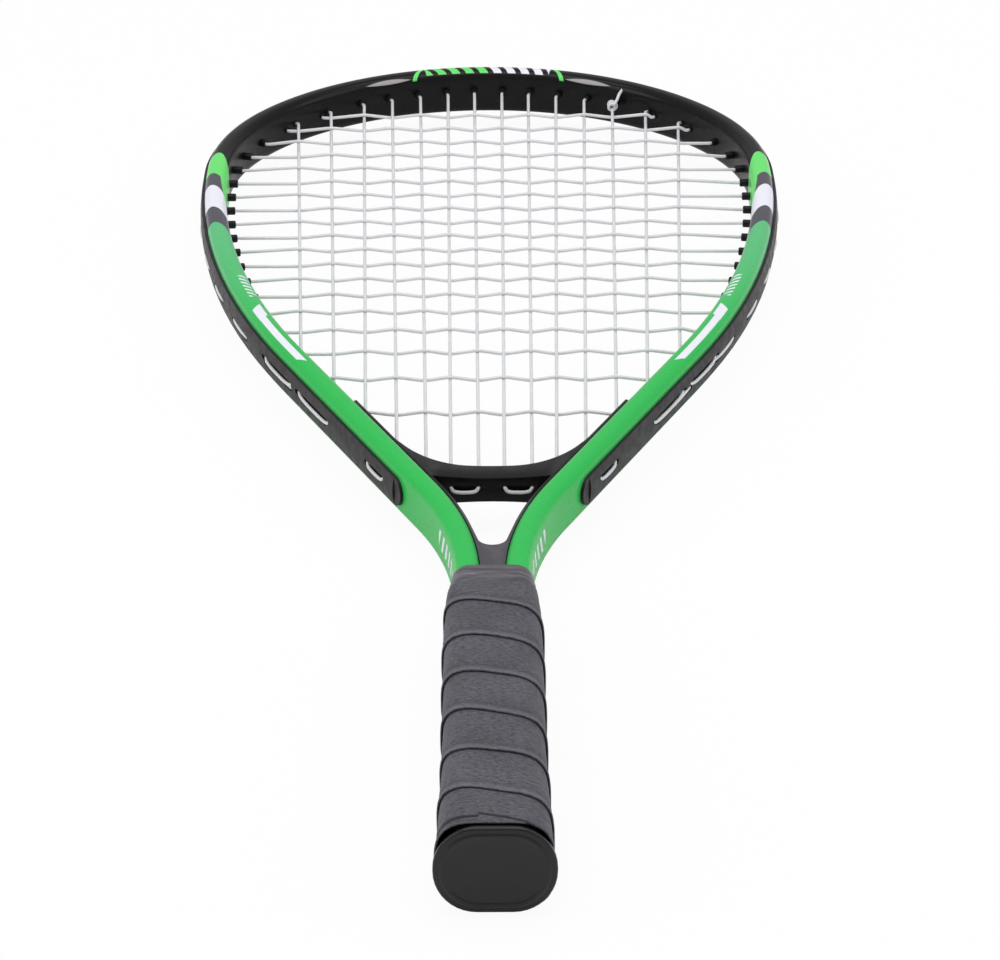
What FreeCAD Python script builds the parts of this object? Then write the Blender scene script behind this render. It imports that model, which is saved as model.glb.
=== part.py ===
import FreeCAD, Part
import math
import os
import Sketcher
from FreeCAD import Placement, Rotation, Vector

# Crossminton racket, millimetres.
# The origin is the centre of the butt cap's end face. +Y runs from the butt to the tip of the head,
# +X to the right and +Z up, square to the strings. The string bed lies about the plane z = 0.

doc = FreeCAD.newDocument("crossminton_racket")

# Driving sizes
SIZES = {
    "shaft_bend_y": 157.703425,
    "tip_arc_radius": 107.8,
    "tip_arc_angle": 51.5,
    "shoulder_arc_radius": 92.4,
    "shoulder_arc_angle": 37.2,
    "flank_arc_radius": 373.5,
    "flank_arc_angle": 26.5,
    "neck_arc_radius": 140.0,
    "shaft_half_spacing": 8.0,
    "shaft_end_y": 12.0,
    "tube_width": 8.2,
    "tube_depth": 18.0,
    "tube_corner": 3.4,
    "tube_wall": 1.2,
    "strip_height": 10.0,
    "strip_thickness": 1.7,
    "strip_crown": 0.6,
    "strip_floor": 0.3,
    "strip_end_drop": 8.9,
    "strip_seat_clearance": 0.05,
    "barrel_diameter": 3.0,
    "barrel_reach": 3.2,
    "barrel_corner_loss": 0.85,
    "barrel_clearance": 0.1,
    "string_diameter": 1.25,
    "string_bore_clearance": 0.25,
    "string_lap_clearance": 0.04,
    "string_bend_radius": 0.7,
    "string_sweep_radius": 3.0,
    "string_lead": 1.2,
    "main_tip_line_drop": 22.2,
    "main_throat_line_rise": 15.0,
    "cross_count": 19,
    "first_cross_rise": 47.6,
    "last_cross_drop": 29.658173,
    "cross_throat_gap": 14.7,
    "cross_gap_ratio": 0.62,
    "cross_tip_gap": 1.5,
    "knot_length": 4.6,
    "knot_radius": 1.7,
    "knot_tail": 5.5,
    "knot_clearance": 0.05,
    "bridge_rise": 79.696575,
    "bridge_thickness": 8.9,
    "bridge_half_depth": 4.3,
    "bridge_groove_depth": 1.0,
    "wing_curve_radius": 28.0,
    "wing_thickness": 0.9,
    "wing_length": 43.6,
    "throat_half_depth": 7.0,
    "throat_scoop_radius": 167.0,
    "throat_clearance": 0.15,
    "arm_thickness": 0.8,
    "notch_rise": 20.096575,
    "notch_radius": 4.7,
    "notch_shoulder_rise": 12.2,
    "web_gap": 0.5,
    "core_width": 27.2,
    "core_depth": 23.0,
    "core_corner": 9.0,
    "core_start_y": 3.2,
    "core_taper_length": 22.0,
    "core_end_setback": 7.703425,
    "core_end_wall": 0.35,
    "core_shaft_clearance": 0.05,
    "core_split_gap": 0.1,
    "cap_width": 35.0,
    "cap_depth": 27.9,
    "cap_corner": 11.6,
    "cap_flange": 2.2,
    "cap_edge_fillet": 0.9,
    "cap_rim_inset": 1.9,
    "cap_rim_width": 1.3,
    "cap_panel_recess": 0.25,
    "cap_skirt_flare": 0.5,
    "cap_skirt_end_y": 20.0,
    "cap_skirt_wall": 0.8,
    "cap_clearance": 0.1,
    "staple_crown": 9.0,
    "staple_width": 1.0,
    "staple_thickness": 0.5,
    "staple_leg": 5.0,
    "staple_y": 8.0,
    "staple_clearance": 0.1,
    "tape_width": 24.0,
    "tape_pitch": 22.0,
    "tape_thickness": 0.8,
    "tape_lap_gap": 0.53,
    "tape_core_gap": 0.15,
    "tape_phase_y": 20.4,
    "tape_start_y": 2.5,
    "tape_end_setback": 3.0,
    "tape_blunt_end": 3.0,
    "tape_squareness": 3.4,
    "tape_neck_squareness": 5.5,
    "tape_step_ramp": 30.0,
    "collar_gap": 0.3,
    "collar_reach": 10.0,
    "collar_thickness": 0.5,
    "collar_flare": 0.7,
    "collar_clearance": 0.1,
}

# Heights that follow from others, so that the throat and the grip's end move with the shafts' bend
HEIGHTS = {
    "core_end_y": "=shaft_bend_y - core_end_setback",
    "core_taper_y": "=core_end_y - core_taper_length",
    "tape_end_y": "=core_end_y - tape_end_setback",
    "collar_start_y": "=tape_end_y + collar_gap",
    "collar_end_y": "=core_end_y + collar_reach",
    "notch_bottom_y": "=shaft_bend_y + notch_rise",
    "notch_shoulder_y": "=notch_bottom_y + notch_shoulder_rise",
    "bridge_top_y": "=shaft_bend_y + bridge_rise",
    "strip_end_y": "=bridge_top_y - strip_end_drop",
    "wing_end_y": "=bridge_top_y + wing_length",
    "first_cross_y": "=bridge_top_y + first_cross_rise",
    "main_throat_line_y": "=first_cross_y + main_throat_line_rise",
}

# Where each long string crosses the two reference lines, from the middle outwards
MAIN_LINES = {
    "one": (5.5, 4.5),
    "two": (16.2, 14.0),
    "three": (27.3, 22.7),
    "four": (38.7, 32.7),
    "five": (50.1, 43.3),
    "six": (63.5, 54.1),
    "seven": (76.7, 65.4),
}
for main_name, (tip_x, throat_x) in MAIN_LINES.items():
    SIZES["main_tip_x_" + main_name] = tip_x
    SIZES["main_throat_x_" + main_name] = throat_x

sheet = doc.addObject("Spreadsheet::Sheet", "Sizes")
for row, (alias, value) in enumerate((SIZES | HEIGHTS).items(), start=1):
    sheet.set(f"A{row}", alias.replace("_", " "))
    sheet.set(f"B{row}", str(value))
    sheet.setAlias(f"B{row}", alias)
doc.recompute()


def size(alias):
    return float(sheet.get(alias))


# Which long strings end in the bridge bar and which in its wings, and which one holds the knot
BRIDGE_STRINGS = ("one", "two")
WING_STRINGS = ("three", "four")
KNOT_STRING = "five"

# Values that several pieces share
TUBE_HALF = size("tube_width") / 2
TUBE_HALF_DEPTH = size("tube_depth") / 2
STRING_RADIUS = size("string_diameter") / 2
BORE_RADIUS = STRING_RADIUS + size("string_bore_clearance")
MAIN_Z = STRING_RADIUS + size("string_lap_clearance") / 2
CROSS_Z = -MAIN_Z
STRIP_SEAT = TUBE_HALF + size("strip_seat_clearance")
RUN_OFFSET = STRIP_SEAT + size("strip_floor") + STRING_RADIUS
BRIDGE_FACE_Y = size("bridge_top_y") - size("bridge_thickness")
BRIDGE_RUN_Y = BRIDGE_FACE_Y + size("bridge_groove_depth") - STRING_RADIUS
WALL_GAP = TUBE_HALF + size("throat_clearance")
CUT_SPARE = 2.0  # how far a cutting shape reaches past what it cuts
TOUCH = 1e-3  # lengths below this count as none
HALVINGS = 60
ROUNDS = 12  # repeats that settle a value which depends on itself


# Plane curves of the frame
def normal_at(turn):
    return Vector(math.sin(turn), math.cos(turn), 0)


def heading_at(turn):
    return Vector(math.cos(turn), -math.sin(turn), 0)


def frame_pieces(tip_y):
    """Centre line of the right half, from the tip to the shaft's end, as arcs and straights."""
    pieces = []
    turn = 0.0
    point = Vector(0, tip_y, 0)
    for name in ("tip", "shoulder", "flank"):
        radius = size(name + "_arc_radius")
        sweep = math.radians(size(name + "_arc_angle"))
        centre = point - normal_at(turn) * radius
        pieces.append(("arc", centre, radius, turn, turn + sweep, 1))
        turn += sweep
        point = centre + normal_at(turn) * radius
    neck_radius = size("neck_arc_radius")
    neck_sweep = turn - math.pi / 2
    neck_shift = neck_radius * (1 - math.cos(neck_sweep))
    length = (point.x - neck_shift - size("shaft_half_spacing")) / -math.cos(turn)
    neck_start = point + heading_at(turn) * length
    pieces.append(("line", point, neck_start, turn, turn, 1))
    centre = neck_start + normal_at(turn) * neck_radius
    pieces.append(("arc", centre, neck_radius, turn, math.pi / 2, -1))
    shaft_start = centre - normal_at(math.pi / 2) * neck_radius
    shaft_end = Vector(shaft_start.x, size("shaft_end_y"), 0)
    pieces.append(("line", shaft_start, shaft_end, math.pi / 2, math.pi / 2, 1))
    return pieces


HEAD_TO_BEND = -frame_pieces(0.0)[-1][1].y
TIP_Y = size("shaft_bend_y") + HEAD_TO_BEND
FRAME = frame_pieces(TIP_Y)
FLANK_TURN = FRAME[3][3]
FLANK_NORMAL = normal_at(FLANK_TURN)
FLANK_HEADING = heading_at(FLANK_TURN)


def on_piece(piece, share, offset):
    kind, first, second, start, end, side = piece
    turn = start + (end - start) * share
    if kind == "arc":
        return first + normal_at(turn) * (side * second + offset)
    return first + (second - first) * share + normal_at(start) * offset


def piece_edge(piece, offset, low=0.0, high=1.0, height=0.0):
    lift = Vector(0, 0, height)
    start = on_piece(piece, low, offset) + lift
    end = on_piece(piece, high, offset) + lift
    if piece[0] == "line":
        return Part.makeLine(start, end)
    middle = on_piece(piece, (low + high) / 2, offset) + lift
    return Part.Arc(start, middle, end).toShape()


def share_at_y(piece, offset, y):
    """Share along a piece at which the curve at this offset passes the height y."""
    low, high = 0.0, 1.0
    for _ in range(HALVINGS):
        middle = (low + high) / 2
        if on_piece(piece, middle, offset).y > y:
            low = middle
        else:
            high = middle
    return low


def first_hit(start, direction, offset):
    """Nearest crossing of a ray with the right half at an offset: its point and outward normal."""
    best = None
    for piece in FRAME:
        kind, first, second, turn_start, turn_end, side = piece
        if kind == "line":
            base = first + normal_at(turn_start) * offset
            along = second - first
            cross = direction.x * along.y - direction.y * along.x
            if abs(cross) < TOUCH:
                continue
            gap = base - start
            reach = (gap.x * along.y - gap.y * along.x) / cross
            share = (gap.x * direction.y - gap.y * direction.x) / cross
            hits = [(reach, normal_at(turn_start))] if 0 <= share <= 1 else []
        else:
            radius = second + side * offset
            gap = start - first
            half = gap.dot(direction)
            root = half * half - gap.dot(gap) + radius * radius
            if root < 0:
                continue
            hits = []
            for sign in (-1, 1):
                reach = -half + sign * math.sqrt(root)
                normal = (start + direction * reach - first) * (side / radius)
                turn = math.atan2(normal.x, normal.y)
                if min(turn_start, turn_end) <= turn <= max(turn_start, turn_end):
                    hits.append((reach, normal))
        for reach, normal in hits:
            if reach > 0 and (best is None or reach < best[0]):
                best = (reach, start + direction * reach, normal)
    return best[1], best[2]


def mirror(point):
    return Vector(-point.x, point.y, point.z)


# Sketch helpers
def origin_plane(body, role):
    return [item for item in body.Origin.OriginFeatures if item.Role == role][0]


def new_body(label):
    body = doc.addObject("PartDesign::Body", label)
    body.Label = label
    return body


def new_sketch(body, name, role, height="0", across="0"):
    """Sketch on an origin plane, moved along the plane's normal and its first axis."""
    sketch = body.newObject("Sketcher::SketchObject", name)
    sketch.AttachmentSupport = [(origin_plane(body, role), "")]
    sketch.MapMode = "FlatFace"
    sketch.setExpression("AttachmentOffset.Base.x", across)
    sketch.setExpression("AttachmentOffset.Base.z", height)
    return sketch


def bind(sketch, name, constraint, expression):
    index = sketch.addConstraint(constraint)
    sketch.renameConstraint(index, name)
    sketch.setExpression("Constraints." + name, expression)


def rounded_rectangle(sketch, tag, width, depth, corner, width_is, depth_is, corner_is):
    """Rectangle with round corners about the sketch's origin, bound to expressions."""
    first = sketch.GeometryCount
    x, y, r = width / 2, depth / 2, corner
    corners = [(x - r, y - r, 0), (-x + r, y - r, 1), (-x + r, -y + r, 2), (x - r, -y + r, 3)]
    for cx, cy, quarter in corners:
        start = quarter * math.pi / 2
        circle = Part.Circle(Vector(cx, cy, 0), Vector(0, 0, 1), r)
        sketch.addGeometry(Part.ArcOfCircle(circle, start, start + math.pi / 2))
    sides = [((x - r, y), (-x + r, y)), ((-x, y - r), (-x, -y + r)),
             ((-x + r, -y), (x - r, -y)), ((x, -y + r), (x, y - r))]
    for start, end in sides:
        sketch.addGeometry(Part.LineSegment(Vector(*start, 0), Vector(*end, 0)))
    for index in range(4):
        arc, line, next_arc = first + index, first + 4 + index, first + (index + 1) % 4
        sketch.addConstraint(Sketcher.Constraint("Tangent", arc, 2, line, 1))
        sketch.addConstraint(Sketcher.Constraint("Tangent", line, 2, next_arc, 1))
    for index in range(3):
        sketch.addConstraint(Sketcher.Constraint("Equal", first, first + index + 1))
    top, left, bottom, right = (first + 4 + index for index in range(4))
    sketch.addConstraint(Sketcher.Constraint("Horizontal", top))
    sketch.addConstraint(Sketcher.Constraint("Vertical", left))
    sketch.addConstraint(Sketcher.Constraint("Symmetric", top, 1, bottom, 1, -1, 1))
    bind(sketch, tag + "_corner", Sketcher.Constraint("Radius", first, corner), corner_is)
    bind(sketch, tag + "_width", Sketcher.Constraint("DistanceX", left, 1, right, 1, width),
         width_is)
    bind(sketch, tag + "_depth", Sketcher.Constraint("DistanceY", bottom, 1, top, 1, depth),
         depth_is)


def feature(label, shape):
    item = doc.addObject("Part::Feature", label)
    item.Label = label
    item.Shape = shape
    item.Placement = Placement()
    return item


# Frame tube: a rounded hollow section along the right half, mirrored to the left
def make_tube_body():
    body = new_body("tube_blank")
    spine = new_sketch(body, "tube_centre_line", "XY_Plane")
    count = len(FRAME)
    for piece in FRAME:
        kind, first, second, start, end, side = piece
        if kind == "line":
            spine.addGeometry(Part.LineSegment(first, second))
            continue
        circle = Part.Circle(first, Vector(0, 0, 1), second)
        angles = [math.atan2(side * math.cos(turn), side * math.sin(turn)) for turn in (start, end)]
        spine.addGeometry(Part.ArcOfCircle(circle, min(angles), max(angles)))
    # A head arc runs against the drawn sense, the neck arc with it
    entry = [2, 2, 2, 1, 1, 1]
    leave = [1, 1, 1, 2, 2, 2]
    for index in range(count - 1):
        joint = Sketcher.Constraint("Tangent", index, leave[index], index + 1, entry[index + 1])
        spine.addConstraint(joint)
    spine.addConstraint(Sketcher.Constraint("PointOnObject", 0, 3, -2))
    spine.addConstraint(Sketcher.Constraint("PointOnObject", 0, entry[0], -2))
    spine.addConstraint(Sketcher.Constraint("Vertical", count - 1))
    bind(spine, "bend_y", Sketcher.Constraint("DistanceY", -1, 1, 5, 1, size("shaft_bend_y")),
         "Sizes.shaft_bend_y")
    for index, name in enumerate(("tip", "shoulder", "flank")):
        radius, angle = name + "_arc_radius", name + "_arc_angle"
        bind(spine, radius, Sketcher.Constraint("Radius", index, size(radius)), "Sizes." + radius)
        bind(spine, angle, Sketcher.Constraint("Angle", index, math.radians(size(angle))),
             f"Sizes.{angle} * 1 deg")
    bind(spine, "neck_radius", Sketcher.Constraint("Radius", 4, size("neck_arc_radius")),
         "Sizes.neck_arc_radius")
    bind(spine, "shaft_x", Sketcher.Constraint("DistanceX", -1, 1, 5, 2, size("shaft_half_spacing")),
         "Sizes.shaft_half_spacing")
    bind(spine, "shaft_y", Sketcher.Constraint("DistanceY", -1, 1, 5, 2, size("shaft_end_y")),
         "Sizes.shaft_end_y")
    section = new_sketch(body, "tube_section", "XZ_Plane", "-Sizes.shaft_end_y",
                         "Sizes.shaft_half_spacing")
    wall = size("tube_wall")
    rounded_rectangle(section, "outer", size("tube_width"), size("tube_depth"), size("tube_corner"),
                      "Sizes.tube_width", "Sizes.tube_depth", "Sizes.tube_corner")
    rounded_rectangle(section, "inner", size("tube_width") - 2 * wall,
                      size("tube_depth") - 2 * wall, size("tube_corner") - wall,
                      "Sizes.tube_width - 2 * Sizes.tube_wall",
                      "Sizes.tube_depth - 2 * Sizes.tube_wall",
                      "Sizes.tube_corner - Sizes.tube_wall")
    doc.recompute()
    pipe = body.newObject("PartDesign::AdditivePipe", "tube_right_half")
    pipe.Profile = section
    pipe.Spine = (spine, [])
    doc.recompute()
    both = body.newObject("PartDesign::Mirrored", "tube_both_halves")
    both.Originals = [pipe]
    both.MirrorPlane = (origin_plane(body, "YZ_Plane"), [""])
    body.Tip = both
    doc.recompute()
    return body


# String routes
RUN_SHARE = 0.45  # largest share of a run that the arc at one of its ends may take


def rounded_wire(points, radii):
    """Straight runs joined by tangent arcs. Each corner's arc keeps within its two runs."""
    edges = []
    last = points[0]
    for index in range(1, len(points) - 1):
        corner = points[index]
        back = points[index - 1] - corner
        ahead = points[index + 1] - corner
        back_length, ahead_length = back.Length, ahead.Length
        back.normalize()
        ahead.normalize()
        turn = math.pi - back.getAngle(ahead)
        slack = RUN_SHARE * min(back_length, ahead_length)
        cut = min(slack, radii[index] * math.tan(turn / 2))
        radius = cut / math.tan(turn / 2)
        start = corner + back * cut
        end = corner + ahead * cut
        bisector = back + ahead
        bisector.normalize()
        middle = corner + bisector * (radius / math.cos(turn / 2) - radius)
        edges.append(Part.makeLine(last, start))
        edges.append(Part.Arc(start, middle, end).toShape())
        last = end
    edges.append(Part.makeLine(last, points[-1]))
    return Part.Wire(edges)


def sweep_round(wire, radius):
    start = wire.Edges[0].valueAt(wire.Edges[0].FirstParameter)
    direction = wire.Edges[0].tangentAt(wire.Edges[0].FirstParameter)
    ring = Part.Wire([Part.makeCircle(radius, start, direction)])
    return wire.makePipeShell([ring], True, False)


# The throat's edge towards the strings: a straight, an arc and a straight beside the tube
WING_OFFSET = -(WALL_GAP + size("wing_thickness"))
WING_RADIUS = size("wing_curve_radius")


def line_point_at_y(offset, y):
    """Point at a height on the straight flank of the frame, at an outward offset."""
    base = FRAME[3][1] + FLANK_NORMAL * offset
    return base + FLANK_HEADING * ((y - base.y) / FLANK_HEADING.y)


WING_CORNER = line_point_at_y(WING_OFFSET, size("bridge_top_y"))
WING_CUT = WING_RADIUS * math.tan((math.pi - FLANK_TURN) / 2)
WING_ARC_START = WING_CORNER - Vector(WING_CUT, 0, 0)
WING_ARC_END = WING_CORNER - FLANK_HEADING * WING_CUT
WING_ARC_CENTRE = WING_ARC_START + Vector(0, WING_RADIUS, 0)


def throat_edge_y(x):
    """Height of the throat's upper edge at a distance from the middle."""
    if x <= WING_ARC_START.x:
        return size("bridge_top_y")
    if x <= WING_ARC_END.x:
        return WING_ARC_CENTRE.y - math.sqrt(WING_RADIUS ** 2 - (x - WING_ARC_CENTRE.x) ** 2)
    return WING_ARC_END.y + (x - WING_ARC_END.x) * FLANK_HEADING.y / FLANK_HEADING.x


class StringEnd:
    """One end of a string run: where it bends inside, where it comes out and how far in
    from the tube's centre line the mouth of its barrel lies."""

    def __init__(self, bend, outlet, mouth):
        self.bend = bend
        self.outlet = outlet
        self.mouth = mouth

    def mirrored(self):
        return StringEnd(mirror(self.bend), mirror(self.outlet), self.mouth)


def end_in_tube(start, direction):
    """Barrels stand less proud of the inner wall round the head's corners."""
    reach = size("barrel_reach")
    for _ in range(ROUNDS):
        mouth = TUBE_HALF + reach
        bend, normal = first_hit(start, direction, -(mouth + size("string_lead")))
        turn = math.atan2(normal.x, normal.y)
        corner = max(0.0, math.sin(2 * turn)) ** 3
        reach = size("barrel_reach") * (1 - size("barrel_corner_loss") * corner)
    outlet = bend + normal * (mouth + size("string_lead") + RUN_OFFSET)
    return StringEnd(bend, outlet, mouth)


def end_in_bridge(start):
    return StringEnd(Vector(start.x, size("bridge_top_y"), 0), Vector(start.x, BRIDGE_RUN_Y, 0), None)


def end_in_wing(start):
    bend = start + Vector(0, size("string_lead"), 0)
    depth = (FRAME[3][1] - bend).dot(FLANK_NORMAL)
    outlet = bend + FLANK_NORMAL * (depth + RUN_OFFSET)
    return StringEnd(bend, outlet, depth - 2 * size("string_lead"))


def main_ends(name):
    """Tip end and throat end of the right-hand string of this name."""
    tip_x = size("main_tip_x_" + name)
    throat_x = size("main_throat_x_" + name)
    top = Vector(tip_x, TIP_Y - size("main_tip_line_drop"), 0)
    low = Vector(throat_x, size("main_throat_line_y"), 0)
    middle = (top + low) * 0.5
    up = (top - low).normalize()
    tip_end = end_in_tube(middle, up)
    if name not in BRIDGE_STRINGS + WING_STRINGS:
        return tip_end, end_in_tube(middle, -up)
    edge = low
    for _ in range(ROUNDS):
        edge_y = throat_edge_y(edge.x)
        edge = Vector(throat_x + up.x / up.y * (edge_y - low.y), edge_y, 0)
    if name in BRIDGE_STRINGS:
        return tip_end, end_in_bridge(edge)
    return tip_end, end_in_wing(edge)


def cross_heights():
    """Even gaps, with more added near the throat and a little near the tip."""
    count = int(size("cross_count"))
    extras = [size("cross_throat_gap") * size("cross_gap_ratio") ** index
              + size("cross_tip_gap") * (index / (count - 2)) ** 2 for index in range(count - 1)]
    span = TIP_Y - size("last_cross_drop") - size("first_cross_y")
    pitch = (span - sum(extras)) / (count - 1)
    heights = [size("first_cross_y")]
    for extra in extras:
        heights.append(heights[-1] + pitch + extra)
    return heights


MAINS = {name: main_ends(name) for name in MAIN_LINES}
CROSSES = [end_in_tube(Vector(0, y, 0), Vector(1, 0, 0)) for y in cross_heights()]


def foot_on_frame(point):
    """Outward distance of a right-hand point from the centre line, and the normal there."""
    for piece in FRAME[:4]:
        kind, first, second, turn_start, turn_end, side = piece
        if kind == "arc":
            away = point - first
            turn = math.atan2(away.x, away.y)
            if turn_start <= turn <= turn_end:
                return away.Length - second, normal_at(turn)
        else:
            return (point - first).dot(normal_at(turn_start)), normal_at(turn_start)


def outer_run(start, end):
    """Points of a run on the outside between two outlets, with a middle point on a curve."""
    middle = (start + end) * 0.5
    if middle.y < BRIDGE_RUN_Y + TOUCH:
        return [start, end]
    left = middle.x < 0
    probe = mirror(middle) if left else middle
    offset, normal = foot_on_frame(probe)
    if RUN_OFFSET - offset < TOUCH:
        return [start, end]
    probe = probe + normal * (RUN_OFFSET - offset)
    return [start, mirror(probe) if left else probe, end]


def lifted(point, height):
    return Vector(point.x, point.y, height)


def main_route():
    """From the left outermost string to the right one, turning outside the frame each time."""
    names = list(MAIN_LINES)
    columns = [(name, True) for name in reversed(names)] + [(name, False) for name in names]
    tail = CROSSES[1].outlet
    stops = [(mirror(tail), False)]
    runs = []
    upward = True
    for name, left in columns:
        tip, throat = MAINS[name]
        if left:
            tip, throat = tip.mirrored(), throat.mirrored()
        enter, leave = (throat, tip) if upward else (tip, throat)
        run = outer_run(stops[-1][0], enter.outlet)
        runs.append(run)
        stops += [(point, False) for point in run[1:-1]]
        stops += [(enter.outlet, True), (enter.bend, False)]
        stops += [(leave.bend, False), (leave.outlet, True)]
        upward = not upward
    run = outer_run(stops[-1][0], tail)
    runs.append(run)
    stops += [(point, False) for point in run[1:]]
    return stops, runs


def cross_route():
    """From the lowest cross string's left end to the highest one's right end and the knot."""
    stops = []
    runs = []
    rightward = True
    for right in CROSSES:
        left = right.mirrored()
        enter, leave = (left, right) if rightward else (right, left)
        if stops:
            run = outer_run(stops[-1][0], enter.outlet)
            runs.append(run)
            stops += [(point, False) for point in run[1:-1]]
        stops += [(enter.outlet, True), (enter.bend, False)]
        stops += [(leave.bend, False), (leave.outlet, True)]
        rightward = not rightward
    run = outer_run(stops[-1][0], MAINS[KNOT_STRING][0].outlet)
    runs.append(run)
    stops += [(point, False) for point in run[1:]]
    return stops, runs


def route_wire(stops, height):
    """A tight bend where a string leaves its bore, an easy one everywhere else."""
    points = [lifted(point, height) for point, _ in stops]
    tight, easy = size("string_bend_radius"), size("string_sweep_radius")
    return rounded_wire(points, [tight if outlet else easy for _, outlet in stops])


MAIN_STOPS, MAIN_RUNS = main_route()
CROSS_STOPS, CROSS_RUNS = cross_route()
MAIN_WIRE = route_wire(MAIN_STOPS, MAIN_Z)
CROSS_WIRE = route_wire(CROSS_STOPS, CROSS_Z)


KNOT_TAIL_LEAN = Vector(-0.5, 0.3, 1).normalize()
KNOT_ROUNDING = 1 / 3  # share of its radius that the knot's edges are rounded by


def make_knot():
    """Knot of the cross string's end, tied round a long string just inside the frame."""
    tip = MAINS[KNOT_STRING][0]
    low = MAINS[KNOT_STRING][1].bend
    down = (low - tip.bend).normalize()
    start = lifted(tip.bend + down * 2 * size("string_lead"), MAIN_Z)
    knot = Part.makeCylinder(size("knot_radius"), size("knot_length"), start, down)
    knot = knot.makeFillet(size("knot_radius") * KNOT_ROUNDING, knot.Edges)
    middle = start + down * (size("knot_length") / 2)
    tail = Part.makeCylinder(STRING_RADIUS, size("knot_tail"), middle, KNOT_TAIL_LEAN)
    passage = Part.makeCylinder(STRING_RADIUS + size("knot_clearance"), 2 * size("knot_length"),
                                start - down * size("knot_length") / 2, down)
    return knot.fuse(tail).cut(passage)


main_string = feature("main_string", sweep_round(MAIN_WIRE, STRING_RADIUS))
cross_string = feature("cross_string", sweep_round(CROSS_WIRE, STRING_RADIUS))
tie_off_knot = feature("tie_off_knot", make_knot())
print("main string length", round(MAIN_WIRE.Length), "volume", round(main_string.Shape.Volume))
print("cross string length", round(CROSS_WIRE.Length), "volume", round(cross_string.Shape.Volume))


# Bores: one for each string end that passes the tube, with the height it lies at
def bore_list():
    bores = []
    for name, ends in MAINS.items():
        for end in ends:
            if end.mouth is not None:
                bores += [(name, end, MAIN_Z), (name, end.mirrored(), MAIN_Z)]
    for end in CROSSES:
        bores += [("cross", end, CROSS_Z), ("cross", end.mirrored(), CROSS_Z)]
    return bores


BORES = bore_list()


def bore_cylinder(bore, radius, inner_reach, outer_reach):
    """Cylinder on a bore's axis between two distances from the tube's centre line."""
    name, end, height = bore
    axis = (end.outlet - end.bend).normalize()
    centre = lifted(end.outlet - axis * RUN_OFFSET, height)
    return Part.makeCylinder(radius, inner_reach + outer_reach, centre - axis * inner_reach, axis)


def slot_boxes(run, height):
    """Slots that hold each run of string on the outside, open outwards."""
    head_centre = Vector(0, TIP_Y - size("tip_arc_radius"), 0)
    spare = STRING_RADIUS / 2
    boxes = []
    for start, end in zip(run[:-1], run[1:]):
        along = (end - start).normalize()
        away = Vector(-along.y, along.x, 0)
        if away.dot((start + end) * 0.5 - head_centre) < 0:
            start, end, along, away = end, start, -along, -away
        corner = start - along * spare - away * BORE_RADIUS
        length = (end - start).Length + 2 * spare
        box = Part.makeBox(length, BORE_RADIUS + size("strip_thickness"), 2 * BORE_RADIUS)
        turn = math.degrees(math.atan2(along.y, along.x))
        box.Placement = Placement(lifted(corner, height - BORE_RADIUS),
                                  Rotation(Vector(0, 0, 1), turn))
        boxes.append(box)
    return boxes


HOLE_RADIUS = size("barrel_diameter") / 2 + size("barrel_clearance")
holes = doc.addObject("Part::Feature", "barrel_holes")
holes.Shape = Part.makeCompound([
    bore_cylinder(bore, HOLE_RADIUS, bore[1].mouth + size("barrel_clearance"),
                  TUBE_HALF + CUT_SPARE)
    for bore in BORES])
tube_blank = make_tube_body()
frame_tube = doc.addObject("Part::Cut", "frame_tube")
frame_tube.Base = tube_blank
frame_tube.Tool = holes
frame_tube.Label = "frame_tube"
doc.recompute()


# Grommet strip: a band round the outside of the head with a barrel at each string
def strip_profile(start, normal):
    half = size("strip_height") / 2
    edge = size("strip_thickness") - size("strip_crown")
    up = Vector(0, 0, 1)
    inner_low = start - up * half
    inner_high = start + up * half
    outer_low = inner_low + normal * edge
    outer_high = inner_high + normal * edge
    crown = start + normal * size("strip_thickness")
    edges = [Part.makeLine(inner_low, inner_high), Part.makeLine(inner_high, outer_high),
             Part.Arc(outer_high, crown, outer_low).toShape(), Part.makeLine(outer_low, inner_low)]
    return Part.Wire(edges)


def make_strip():
    share = share_at_y(FRAME[3], STRIP_SEAT, size("strip_end_y"))
    right = [piece_edge(FRAME[3], STRIP_SEAT, 0.0, share)]
    for piece in reversed(FRAME[:3]):
        right.append(piece_edge(piece, STRIP_SEAT))
    left = [edge.mirror(Vector(0, 0, 0), Vector(1, 0, 0)) for edge in right]
    path = Part.Wire(Part.__sortEdges__(right + left))
    end_point = on_piece(FRAME[3], share, STRIP_SEAT)
    band = path.makePipeShell([strip_profile(end_point, FLANK_NORMAL)], True, False)
    edge = size("strip_thickness") - size("strip_crown")
    parts = [Part.makeCylinder(size("strip_height") / 2, edge, end_point, FLANK_NORMAL),
             Part.makeCylinder(size("strip_height") / 2, edge, mirror(end_point),
                               mirror(FLANK_NORMAL))]
    barrel_end = STRIP_SEAT + size("strip_floor")
    parts += [bore_cylinder(bore, size("barrel_diameter") / 2, bore[1].mouth, barrel_end)
              for bore in BORES]
    strip = band.fuse(parts)
    for runs, height in ((MAIN_RUNS, MAIN_Z), (CROSS_RUNS, CROSS_Z)):
        strip = strip.cut([bore_cylinder(bore, BORE_RADIUS, bore[1].mouth + CUT_SPARE,
                                         RUN_OFFSET + CUT_SPARE)
                           for bore in BORES if bore[2] == height])
        for run in runs:
            strip = strip.cut(slot_boxes(run, height))
    return strip


grommet_strip = feature("grommet_strip", make_strip())


# Throat piece: web, two thin arms along the tubes, the bridge bar and its wings
def mirrored_edges(edges):
    return edges + [edge.mirror(Vector(0, 0, 0), Vector(1, 0, 0)) for edge in edges]


def closed_face(edges):
    return Part.Face(Part.Wire(Part.__sortEdges__(mirrored_edges(edges))))


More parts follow.
